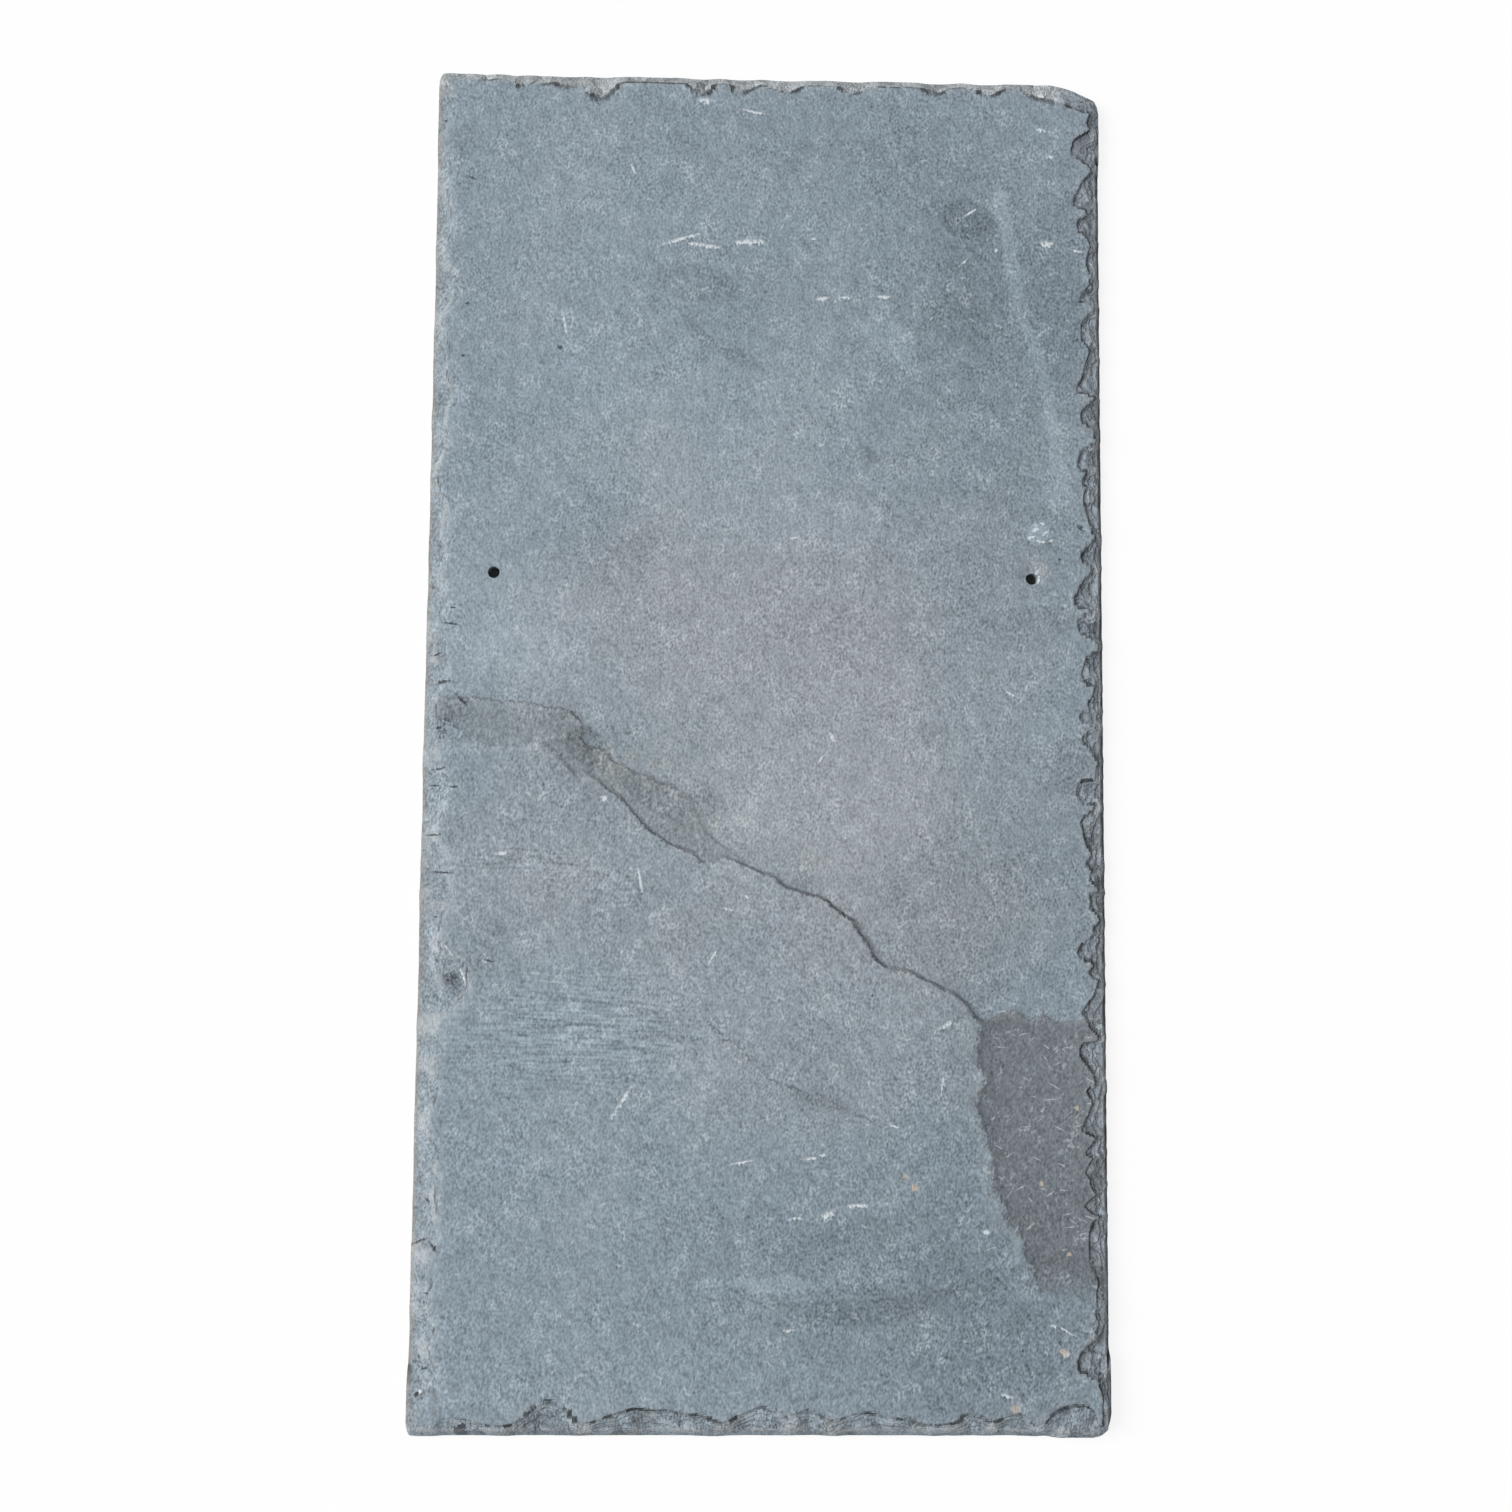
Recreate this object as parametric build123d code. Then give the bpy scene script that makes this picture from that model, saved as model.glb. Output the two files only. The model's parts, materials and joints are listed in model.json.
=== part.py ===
"""A reclaimed roofing slate: one split stone with a broken cleavage step and hand-dressed edges.

The back lies on z = 0, the weathered face looks up, and the head of the slate points along +Y.
"""

import os
from math import asin, cos

from build123d import *

# Overall sizes, in millimetres
LENGTH = 508.0
WIDTH = 254.0
BODY_THICKNESS = 5.5
SKIN_STEP = 0.6
CRUST_STEP = 0.9
OVERRUN = 2.0

# Corners of the outline, and the sloping shoulder at the right of the head
HEAD_LEFT_RADIUS = 3.0
TAIL_LEFT_RADIUS = 2.0
TAIL_RIGHT_RADIUS = 7.0
SHOULDER_RUN = 26.0
SHOULDER_RADIUS = 49.0
SHOULDER_NOSE_RADIUS = 4.0

# Nail holes, with the shallow spall that the punch left round each one
HOLE_DIAMETER = 4.5
HOLE_FROM_HEAD = 194.3
LEFT_HOLE_INSET = 24.9
RIGHT_HOLE_INSET = 27.2
LEFT_SPALL_DIAMETER = 6.4
LEFT_SPALL_DEPTH = 0.35
RIGHT_SPALL_DIAMETER = 8.4
RIGHT_SPALL_DEPTH = 0.7
SPALL_FLOOR_SHARE = 0.62
SPALL_SHIFT_SHARE = 0.18

# Dressed edges: bevel width, and how far the deepest flake scar of each edge reaches in
RIGHT_BEVEL = 2.5
HEAD_BEVEL = 2.6
LEFT_BEVEL = 6.0
TAIL_BEVEL = 3.0
SHOULDER_BEVEL = 6.0
RIGHT_SCAR_REACH = 12.0
HEAD_SCAR_REACH = 11.5
LEFT_SCAR_REACH = 17.5
TAIL_SCAR_REACH = 13.0

# Heights at the edges, the wall round each edge's flake scars, and the lower flake's share of its scar
EDGE_HEIGHT = 1.6
RIGHT_SCAR_WALL = 1.1
HEAD_SCAR_WALL = 0.8
LEFT_SCAR_WALL = 0.5
TAIL_SCAR_WALL = 0.9
BEVEL_FOOT_SHARE = 0.2
UPPER_FLOOR_DROP_SHARE = 0.3
LOWER_WALL_SHARE = 0.55
LOWER_REACH_SHARE = 0.58
LOWER_SPAN_SHARE = 0.74

# Corners of a flake's rim between its end and its deepest place, as shares of that run and of its reach
FLANK_SHARES = [
    [(0.22, 0.32), (0.58, 0.96)],
    [(0.45, 0.36), (0.84, 0.90)],
    [(0.10, 0.34), (0.46, 0.52)],
    [(0.55, 0.68)],
    [(0.30, 0.16), (0.52, 0.78), (0.82, 0.93)],
]
# How far the lower flake leans from the middle of its scar, towards the start or the end
LEAN_SHARES = [-0.45, 0.30, 0.00, 0.50]
# How far each scar runs past both of its ends, over its neighbours, as a share of its length
SCAR_OVERLAP_SHARE = 0.12

# Broken edge of the crust and of the skin under it, across and up the face, from left to right
CRUST_LEFT_SHARES = [
    (0.030, 0.519), (0.039, 0.504), (0.062, 0.494), (0.095, 0.488), (0.146, 0.489),
    (0.168, 0.493), (0.201, 0.482), (0.224, 0.467), (0.247, 0.470), (0.281, 0.456),
    (0.328, 0.430), (0.362, 0.420), (0.400, 0.414), (0.419, 0.401), (0.439, 0.408),
]
SKIN_LEFT_SHARES = [
    (0.075, 0.524), (0.121, 0.521), (0.161, 0.522), (0.212, 0.515), (0.237, 0.504),
    (0.227, 0.491), (0.257, 0.487), (0.271, 0.480), (0.318, 0.470), (0.370, 0.460),
    (0.394, 0.452), (0.396, 0.444), (0.412, 0.430), (0.432, 0.418),
]
JOINT_LEDGE_SHARES = [
    (0.475, 0.405), (0.538, 0.388), (0.583, 0.380), (0.618, 0.368), (0.636, 0.361),
    (0.642, 0.352), (0.664, 0.335), (0.716, 0.328), (0.749, 0.318), (0.797, 0.305),
    (0.809, 0.296),
]
CRUST_RIGHT_SHARES = [
    (0.820, 0.292), (0.804, 0.266), (0.822, 0.253), (0.814, 0.234), (0.830, 0.190),
    (0.845, 0.156), (0.874, 0.136), (0.894, 0.106), (0.928, 0.096),
]
SKIN_RIGHT_SHARES = [
    (0.822, 0.294), (0.860, 0.302), (0.880, 0.297), (0.906, 0.297), (0.931, 0.291),
    (0.943, 0.303), (0.937, 0.320), (0.955, 0.337),
]
CRUST_END_SHARES = (0.521, 0.094)
SKIN_END_SHARES = (0.526, 0.336)

# Flake scars: start and end along the edge, deepest place between them, and depth of the edge's reach
RIGHT_SCAR_SHARES = [
    (0.043, 0.083, 0.31, 1.00), (0.084, 0.110, 0.24, 0.43), (0.111, 0.153, 0.46, 0.62),
    (0.154, 0.176, 0.39, 0.78), (0.177, 0.199, 0.42, 0.72), (0.200, 0.213, 0.60, 0.44),
    (0.211, 0.245, 0.20, 0.84), (0.246, 0.279, 0.70, 0.87), (0.282, 0.319, 0.49, 0.81),
    (0.320, 0.333, 0.65, 0.57), (0.335, 0.362, 0.39, 0.91), (0.364, 0.385, 0.60, 0.51),
    (0.386, 0.403, 0.61, 0.51), (0.404, 0.446, 0.74, 0.82), (0.447, 0.471, 0.55, 0.94),
    (0.472, 0.481, 0.46, 0.32), (0.482, 0.506, 0.68, 0.70), (0.507, 0.520, 0.50, 0.79),
    (0.521, 0.537, 0.30, 0.54), (0.538, 0.569, 0.31, 0.70), (0.571, 0.596, 0.55, 0.82),
    (0.594, 0.628, 0.27, 0.95), (0.629, 0.645, 0.38, 0.64), (0.648, 0.698, 0.58, 0.64),
    (0.699, 0.724, 0.27, 0.80), (0.732, 0.755, 0.50, 0.67), (0.757, 0.786, 0.24, 0.83),
    (0.787, 0.824, 0.39, 0.64), (0.828, 0.845, 0.25, 0.74), (0.847, 0.876, 0.42, 0.46),
    (0.877, 0.899, 0.59, 0.74), (0.900, 0.934, 0.22, 0.87), (0.935, 0.964, 0.36, 0.87),
]
HEAD_SCAR_SHARES = [
    (0.148, 0.202, 0.43, 0.47), (0.209, 0.270, 0.63, 0.50), (0.347, 0.408, 0.28, 0.47),
    (0.454, 0.513, 0.28, 0.57), (0.514, 0.562, 0.65, 0.57), (0.587, 0.627, 0.42, 0.68),
    (0.724, 0.777, 0.60, 0.99), (0.778, 0.833, 0.38, 0.50), (0.834, 0.866, 0.27, 0.47),
    (0.868, 0.899, 0.29, 0.50), (0.928, 0.949, 0.50, 0.47),
]
LEFT_SCAR_SHARES = [
    (0.034, 0.060, 0.33, 0.47), (0.147, 0.199, 0.47, 0.62), (0.237, 0.262, 0.47, 0.57),
    (0.272, 0.306, 0.51, 0.42), (0.321, 0.358, 0.40, 0.46), (0.373, 0.402, 0.72, 0.46),
    (0.415, 0.459, 0.48, 0.50), (0.545, 0.595, 0.76, 0.46), (0.596, 0.626, 0.74, 0.60),
    (0.656, 0.709, 0.53, 1.00), (0.711, 0.738, 0.70, 0.49), (0.812, 0.833, 0.40, 0.66),
    (0.840, 0.872, 0.60, 0.71), (0.897, 0.911, 0.60, 0.53), (0.912, 0.938, 0.68, 0.53),
]
TAIL_SCAR_SHARES = [
    (0.062, 0.140, 0.24, 0.49), (0.141, 0.239, 0.58, 0.99), (0.240, 0.433, 0.43, 0.73),
    (0.438, 0.543, 0.65, 0.82), (0.545, 0.609, 0.25, 0.76), (0.613, 0.743, 0.34, 0.62),
    (0.753, 0.775, 0.68, 0.42), (0.776, 0.819, 0.47, 0.63), (0.820, 0.885, 0.70, 0.68),
    (0.886, 0.980, 0.72, 0.91),
]

# Worked-out sizes
TOP = BODY_THICKNESS + SKIN_STEP + CRUST_STEP
RIGHT, LEFT = WIDTH / 2, -WIDTH / 2
HEAD, TAIL = LENGTH / 2, -LENGTH / 2
SHOULDER_TURN = asin(SHOULDER_RUN / SHOULDER_RADIUS)
SHOULDER_DROP = SHOULDER_RADIUS * (1 - cos(SHOULDER_TURN))


def on_face(shares):
    """A place on the face, from its shares of the width and of the length."""
    across, up = shares
    return (LEFT + across * WIDTH, TAIL + up * LENGTH)


def edge_frame(start, end):
    """A frame along one edge: x from start to end, y into the slate, z up."""
    return Plane(origin=start, x_dir=Vector(end) - Vector(start), z_dir=(0, 0, 1))


SHOULDER_FOOT = (RIGHT, HEAD - SHOULDER_DROP)
SHOULDER_CREST = (RIGHT - SHOULDER_RUN, HEAD)
RIGHT_EDGE = edge_frame((RIGHT, TAIL), (RIGHT, HEAD))
HEAD_EDGE = edge_frame((RIGHT, HEAD), (LEFT, HEAD))
LEFT_EDGE = edge_frame((LEFT, HEAD), (LEFT, TAIL))
TAIL_EDGE = edge_frame((LEFT, TAIL), (RIGHT, TAIL))
SHOULDER_EDGE = edge_frame(SHOULDER_FOOT, SHOULDER_CREST)


def slate_outline():
    """The dressed outline: a rectangle with small round corners and one sloping shoulder."""
    shoulder = TangentArc(SHOULDER_CREST, SHOULDER_FOOT, tangent=(1, 0))
    sides = Polyline(SHOULDER_FOOT, (RIGHT, TAIL), (LEFT, TAIL), (LEFT, HEAD), SHOULDER_CREST)
    outline = make_face([shoulder, *sides.edges()])
    corners = [
        ((LEFT, HEAD), HEAD_LEFT_RADIUS),
        ((LEFT, TAIL), TAIL_LEFT_RADIUS),
        ((RIGHT, TAIL), TAIL_RIGHT_RADIUS),
        (SHOULDER_FOOT, SHOULDER_NOSE_RADIUS),
    ]
    for place, radius in corners:
        corner = outline.vertices().sort_by_distance(place)[0]
        outline = fillet(corner, radius)
    return outline


def lamina(outline, broken_edge, end_shares, bottom, step):
    """One layer of cleaved stone on the lower left of the face, up to its broken edge."""
    left_end, right_end = end_shares
    start = (LEFT - OVERRUN, TAIL + left_end * LENGTH)
    finish = (RIGHT + OVERRUN, TAIL + right_end * LENGTH)
    below = [(RIGHT + OVERRUN, TAIL - OVERRUN), (LEFT - OVERRUN, TAIL - OVERRUN)]
    region = make_face(Polyline(start, *broken_edge, finish, *below, close=True))
    return Pos(0, 0, bottom) * extrude(outline & region, amount=step)


def bevel_cut(edge, run, width):
    """A prism that takes the upper arris off one edge, sloping from the rim to the face."""
    foot = EDGE_HEIGHT + BEVEL_FOOT_SHARE * (BODY_THICKNESS - EDGE_HEIGHT)
    slope = (BODY_THICKNESS - foot) / width
    ceiling = TOP + OVERRUN
    profile = Polyline(
        (0, -OVERRUN, foot - OVERRUN * slope),
        (0, (ceiling - foot) / slope, ceiling),
        (0, -OVERRUN, ceiling),
        close=True,
    )
    prism = extrude(make_face(profile), amount=run + 2 * OVERRUN, dir=(1, 0, 0))
    return edge * Pos(-OVERRUN, 0, 0) * prism


def flank(end, deepest, reach, corner_shares):
    """The corners of a flake's rim on one side, from its end on the edge to its deepest place."""
    return [(end + along * (deepest - end), depth * reach) for along, depth in corner_shares]


def scar_cut(edge, start, end, deepest, reach, rim_height, edge_height, turn):
    """One flake scar: an angular rim in plan, over a floor that falls from the rim to the edge."""
    near = flank(start, deepest, reach, FLANK_SHARES[turn % len(FLANK_SHARES)])
    far = flank(end, deepest, reach, FLANK_SHARES[(2 * turn + 1) % len(FLANK_SHARES)])
    rim = [(start, 0), *near, (deepest, reach), *reversed(far), (end, 0)]
    ceiling = TOP + OVERRUN
    plan = make_face(Polyline(*rim, (end, -OVERRUN), (start, -OVERRUN), close=True))
    column = extrude(plan, amount=ceiling, dir=(0, 0, 1))
    fall = (rim_height - edge_height) / reach
    floor = Polyline(
        (0, -OVERRUN, edge_height - OVERRUN * fall),
        (0, reach + OVERRUN, rim_height + OVERRUN * fall),
        (0, reach + OVERRUN, ceiling),
        (0, -OVERRUN, ceiling),
        close=True,
    )
    wedge = extrude(make_face(floor), amount=end - start + 2 * OVERRUN, dir=(1, 0, 0))
    return edge * (column & Pos(start - OVERRUN, 0, 0) * wedge)


def flake_scars(edge, run, full_reach, wall, scar_shares):
    """Every scar of one edge, each a wide upper flake with a smaller, deeper one inside it."""
    upper_rim = BODY_THICKNESS - wall
    upper_edge = upper_rim - UPPER_FLOOR_DROP_SHARE * (upper_rim - EDGE_HEIGHT)
    lower_rim = EDGE_HEIGHT + LOWER_WALL_SHARE * (upper_rim - EDGE_HEIGHT)
    cuts = []
    for turn, (start_share, end_share, deepest_share, depth_share) in enumerate(scar_shares):
        overlap = SCAR_OVERLAP_SHARE * (end_share - start_share) * run
        start = start_share * run - overlap
        end = end_share * run + overlap
        deepest = start + deepest_share * (end - start)
        reach = depth_share * full_reach
        cuts.append(scar_cut(edge, start, end, deepest, reach, upper_rim, upper_edge, turn))
        inner_start = deepest - LOWER_SPAN_SHARE * (deepest - start)
        inner_end = deepest + LOWER_SPAN_SHARE * (end - deepest)
        middle = (inner_start + inner_end) / 2
        lean = LEAN_SHARES[turn % len(LEAN_SHARES)]
        inner_deepest = middle + lean * (inner_end - inner_start) / 2
        inner_reach = LOWER_REACH_SHARE * reach
        inner_plan = (inner_start, inner_end, inner_deepest, inner_reach)
        cuts.append(scar_cut(edge, *inner_plan, lower_rim, EDGE_HEIGHT, turn + 2))
    return cuts


def nail_hole(across, up, spall_diameter, spall_depth, shift):
    """A punched nail hole, with a shallow dish on the face, shifted to one side of the hole."""
    radius = HOLE_DIAMETER / 2
    bore = Pos(across, up, TOP / 2) * Cylinder(radius, TOP + 2 * OVERRUN)
    floor_radius = SPALL_FLOOR_SHARE * spall_diameter / 2
    dish = Cone(floor_radius, spall_diameter / 2, spall_depth)
    shift_across, shift_up = shift
    middle = BODY_THICKNESS - spall_depth / 2
    spall = Pos(across + shift_across, up + shift_up, middle) * dish
    return [bore, spall]


def roofing_slate():
    """The whole slate: body, broken laminae, dressed edges and nail holes, as one solid."""
    outline = slate_outline()
    skin_line = [on_face(p) for p in SKIN_LEFT_SHARES + JOINT_LEDGE_SHARES + SKIN_RIGHT_SHARES]
    crust_line = [on_face(p) for p in CRUST_LEFT_SHARES + JOINT_LEDGE_SHARES + CRUST_RIGHT_SHARES]
    slate = extrude(outline, amount=BODY_THICKNESS)
    slate += lamina(outline, skin_line, SKIN_END_SHARES, BODY_THICKNESS, SKIN_STEP)
    slate += lamina(outline, crust_line, CRUST_END_SHARES, BODY_THICKNESS + SKIN_STEP, CRUST_STEP)

    shoulder_run = (Vector(SHOULDER_CREST) - Vector(SHOULDER_FOOT)).length
    for edge, run, width in [
        (RIGHT_EDGE, LENGTH, RIGHT_BEVEL),
        (HEAD_EDGE, WIDTH, HEAD_BEVEL),
        (LEFT_EDGE, LENGTH, LEFT_BEVEL),
        (TAIL_EDGE, WIDTH, TAIL_BEVEL),
        (SHOULDER_EDGE, shoulder_run, SHOULDER_BEVEL),
    ]:
        slate -= bevel_cut(edge, run, width)
    for edge, run, reach, wall, scar_shares in [
        (RIGHT_EDGE, LENGTH, RIGHT_SCAR_REACH, RIGHT_SCAR_WALL, RIGHT_SCAR_SHARES),
        (HEAD_EDGE, WIDTH, HEAD_SCAR_REACH, HEAD_SCAR_WALL, HEAD_SCAR_SHARES),
        (LEFT_EDGE, LENGTH, LEFT_SCAR_REACH, LEFT_SCAR_WALL, LEFT_SCAR_SHARES),
        (TAIL_EDGE, WIDTH, TAIL_SCAR_REACH, TAIL_SCAR_WALL, TAIL_SCAR_SHARES),
    ]:
        slate -= flake_scars(edge, run, reach, wall, scar_shares)

    hole_up = HEAD - HOLE_FROM_HEAD
    left_shift = (-SPALL_SHIFT_SHARE * LEFT_SPALL_DIAMETER, 0)
    right_shift = (0, SPALL_SHIFT_SHARE * RIGHT_SPALL_DIAMETER)
    slate -= nail_hole(
        LEFT + LEFT_HOLE_INSET, hole_up, LEFT_SPALL_DIAMETER, LEFT_SPALL_DEPTH, left_shift
    )
    slate -= nail_hole(
        RIGHT - RIGHT_HOLE_INSET, hole_up, RIGHT_SPALL_DIAMETER, RIGHT_SPALL_DEPTH, right_shift
    )
    return slate


slate = roofing_slate()
os.makedirs("parts", exist_ok=True)
export_step(slate, "parts/slate.step")
print("slate: faces", len(slate.faces()), "volume", round(slate.volume), slate.bounding_box().size)
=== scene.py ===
# %% [markdown]
# # A reclaimed roofing slate
# The object is one split stone, so the scene has one piece. The CAD solid already holds its outline,
# its broken ledge, its flaked edges and its nail holes. This lesson lays a fine numpy grid over that
# solid, roughens it as split stone is rough, and paints it as old slate is coloured.

import json
import math

import bpy
import numpy as np
from mathutils import Matrix, Vector


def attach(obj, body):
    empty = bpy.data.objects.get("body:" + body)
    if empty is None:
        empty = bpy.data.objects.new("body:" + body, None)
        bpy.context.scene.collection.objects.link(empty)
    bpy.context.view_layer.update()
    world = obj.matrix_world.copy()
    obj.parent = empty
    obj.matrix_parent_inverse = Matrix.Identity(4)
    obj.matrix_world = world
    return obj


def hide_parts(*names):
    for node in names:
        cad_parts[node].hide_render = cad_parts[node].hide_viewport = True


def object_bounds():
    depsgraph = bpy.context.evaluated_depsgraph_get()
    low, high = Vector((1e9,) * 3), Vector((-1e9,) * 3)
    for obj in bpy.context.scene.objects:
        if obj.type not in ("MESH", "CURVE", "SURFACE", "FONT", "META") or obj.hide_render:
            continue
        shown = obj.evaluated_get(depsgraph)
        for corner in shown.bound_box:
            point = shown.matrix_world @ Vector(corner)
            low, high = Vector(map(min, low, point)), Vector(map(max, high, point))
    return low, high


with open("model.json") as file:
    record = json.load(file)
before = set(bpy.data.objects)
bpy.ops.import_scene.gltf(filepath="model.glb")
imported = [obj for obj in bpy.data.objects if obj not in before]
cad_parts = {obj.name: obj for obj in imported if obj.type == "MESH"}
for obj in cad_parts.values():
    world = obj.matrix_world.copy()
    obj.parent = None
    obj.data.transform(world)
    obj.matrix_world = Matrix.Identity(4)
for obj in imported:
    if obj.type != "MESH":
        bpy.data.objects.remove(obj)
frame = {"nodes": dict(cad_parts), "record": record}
cad_low, cad_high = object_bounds()

MM = 0.001
solid = frame["nodes"]["slate"]
WIDTH, LENGTH, TOP = (np.array(cad_high) - np.array(cad_low)) / MM
nail_holes = [mount for mount in frame["record"]["mounts"] if mount["kind"] == "bore"]
print("slate", WIDTH, LENGTH, TOP, "mm, nail holes", len(nail_holes))

# %% [markdown]
# ## Roughness that is the same on every run
# Split stone has relief at every size, from waves as long as a hand to grains as small as sand. A
# random generator per vertex would give only the smallest. Gradient noise gives relief of a chosen
# size: each corner of a square lattice gets a slope from a fixed scramble of its whole numbers, and
# the slopes are blended across the squares. Nothing is drawn from a random generator, so it repeats.

# %% Helpers: ramps, noise and beds


def ramp(value, start, end):
    """0 before start, 1 after end, and the S-curve 3t^2 - 2t^3 between them. End may lie below start."""
    t = np.clip((value - start) / (end - start), 0, 1)
    return t * t * (3 - 2 * t)


def scramble(whole_x, whole_y, seed):
    """A number from 0 to 1 for each pair of whole numbers, always the same one, from mixing their bits."""
    mixed = whole_x.astype(np.int64) * 374761393 + whole_y.astype(np.int64) * 668265263 + seed * 974634777
    mixed = (mixed ^ (mixed >> 13)) * 1274126177
    return ((mixed ^ (mixed >> 16)) & 0xFFFF) / 0x10000


def noise(x, y, size, seed):
    """Gradient noise, about -0.7 to 0.7: lattice squares of the given size, a scrambled slope at each
    corner, and the four slopes' heights mixed by the curve 6t^5 - 15t^4 + 10t^3."""
    cell_x, cell_y = np.floor(x / size), np.floor(y / size)
    part_x, part_y = x / size - cell_x, y / size - cell_y
    ease_x = part_x**3 * (part_x * (6 * part_x - 15) + 10)
    ease_y = part_y**3 * (part_y * (6 * part_y - 15) + 10)

    def corner(step_x, step_y):
        turn = 2 * np.pi * scramble(cell_x + step_x, cell_y + step_y, seed)
        return np.cos(turn) * (part_x - step_x) + np.sin(turn) * (part_y - step_y)

    low = corner(0, 0) * (1 - ease_x) + corner(1, 0) * ease_x
    high = corner(0, 1) * (1 - ease_x) + corner(1, 1) * ease_x
    return low * (1 - ease_y) + high * ease_y


def beds(height, bed, crispness):
    """Height pulled towards whole beds of stone: the whole number of beds, plus an S-curve of the rest."""
    count = np.floor(height / bed)
    rest = height / bed - count
    half = 0.5 / crispness
    return bed * (count + ramp(rest, 0.5 - half, 0.5 + half))


print("noise of 5 mm at one place:", float(noise(np.array([12.0]), np.array([7.0]), 5.0, 1)[0]))

# %% [markdown]
# ## A grid that follows the slate
# The face is a function of two parameters, a column and a row. Even spacing would spend most of its
# points on plain stone, so the columns crowd towards the flaked sides and the nail holes, and the rows
# crowd towards both ends and along the ledge. The rows also swing with the ledge as it crosses the
# slate, so that its broken edge runs along the grid and not across it.

# %% Columns and rows
COLUMNS, ROWS, BACK_STRIDE = 175, 500, 5
LEDGE_COURSE_SHARES = [
    (0.00, 0.515), (0.20, 0.505), (0.32, 0.445), (0.45, 0.408), (0.62, 0.365),
    (0.70, 0.330), (0.82, 0.297), (1.00, 0.310),
]
LEDGE_ROW_SHARE = 0.41
SWING_FULL, SWING_NONE = 20.0, 195.0
END_SQUEEZE = 70.0
DENSITY_SAMPLES = 4001
# Each fine place's reach in millimetres, and how much denser the lines are there.
LEFT_FINE, RIGHT_FINE, HOLE_COLUMNS_FINE = (15.0, 1.6), (13.0, 4.0), (6.0, 0.7)
TAIL_FINE, HEAD_FINE, LEDGE_FINE, HOLE_ROWS_FINE = (13.0, 1.2), (8.0, 0.9), (11.0, 1.0), (7.0, 0.3)


def spread_lines(length, count, fine_places):
    """Places along a length, closer together near the fine places. Each adds a flat-topped bell to a
    density of 1, and the lines are read off the running total of that density at equal steps."""
    samples = np.linspace(-length / 2, length / 2, DENSITY_SAMPLES)
    density = np.ones_like(samples)
    for place, reach, strength in fine_places:
        density += strength * np.exp(-(((samples - place) / reach) ** 4))
    total = np.concatenate([[0], np.cumsum((density[1:] + density[:-1]) / 2)])
    return np.interp(np.linspace(0, total[-1], count + 1), total, samples)


def from_shares(shares):
    """Places on the face in millimetres, from shares of the width and of the length."""
    table = np.array(shares, float)
    return (table[..., 0] - 0.5) * WIDTH, (table[..., 1] - 0.5) * LENGTH


hole_places = [np.array(mount["pos_m"][:2]) / MM for mount in nail_holes]
hole_radii = [mount["dims"]["r_mm"] for mount in nail_holes]
ledge_row = (LEDGE_ROW_SHARE - 0.5) * LENGTH
column_x = spread_lines(
    WIDTH, COLUMNS,
    [(-WIDTH / 2, *LEFT_FINE), (WIDTH / 2, *RIGHT_FINE)]
    + [(place[0], *HOLE_COLUMNS_FINE) for place in hole_places],
)
row_y = spread_lines(
    LENGTH, ROWS,
    [
        (-LENGTH / 2, *TAIL_FINE), (LENGTH / 2, *HEAD_FINE), (ledge_row, *LEDGE_FINE),
        (hole_places[0][1], *HOLE_ROWS_FINE),
    ],
)
grid_x, grid_y = np.meshgrid(column_x, row_y)
course_x, course_y = from_shares(LEDGE_COURSE_SHARES)
swing = np.interp(column_x, course_x, course_y) - ledge_row
grid_y = grid_y + swing * (1 - ramp(np.abs(grid_y - ledge_row), SWING_FULL, SWING_NONE))
print("columns", np.diff(column_x).min(), "to", np.diff(column_x).max(), "mm apart")
print("rows", np.diff(grid_y, axis=0).min(), "to", np.diff(grid_y, axis=0).max(), "mm apart")

# %% [markdown]
# ## The outline, measured on the solid
# The head and the tail aren't straight at their corners: one corner is a long sloping shoulder, and
# another is round. The solid's own back face gives both lines, so the grid's first and last rows are
# drawn in to them, and the rows near an end are squeezed to make room.

# %% Fit the ends and open the nail holes
BACK_TOUCH = 0.01
HOLE_HALF_CELLS, HOLE_BLEND_CELLS = 3, 11

corner_xyz = np.empty(len(solid.data.vertices) * 3)
solid.data.vertices.foreach_get("co", corner_xyz)
corner_xyz = corner_xyz.reshape(-1, 3) / MM
on_back = corner_xyz[corner_xyz[:, 2] < BACK_TOUCH]
for place, radius in zip(hole_places, hole_radii):
    on_back = on_back[np.hypot(*(on_back[:, :2] - place).T) > 2 * radius]


def end_line(x, points):
    """How far up the slate one end lies at each x, read between the solid's own corners of that end."""
    order = np.lexsort((points[:, 1], points[:, 0]))
    return np.interp(x, points[order, 0], points[order, 1])


head_points, tail_points = on_back[on_back[:, 1] > 0], on_back[on_back[:, 1] < 0]
head_drop = LENGTH / 2 - end_line(column_x, head_points)
tail_rise = LENGTH / 2 + end_line(column_x, tail_points)
grid_y = grid_y - head_drop * ramp(grid_y, LENGTH / 2 - END_SQUEEZE, LENGTH / 2)
grid_y = grid_y + tail_rise * ramp(grid_y, END_SQUEEZE - LENGTH / 2, -LENGTH / 2)

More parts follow.
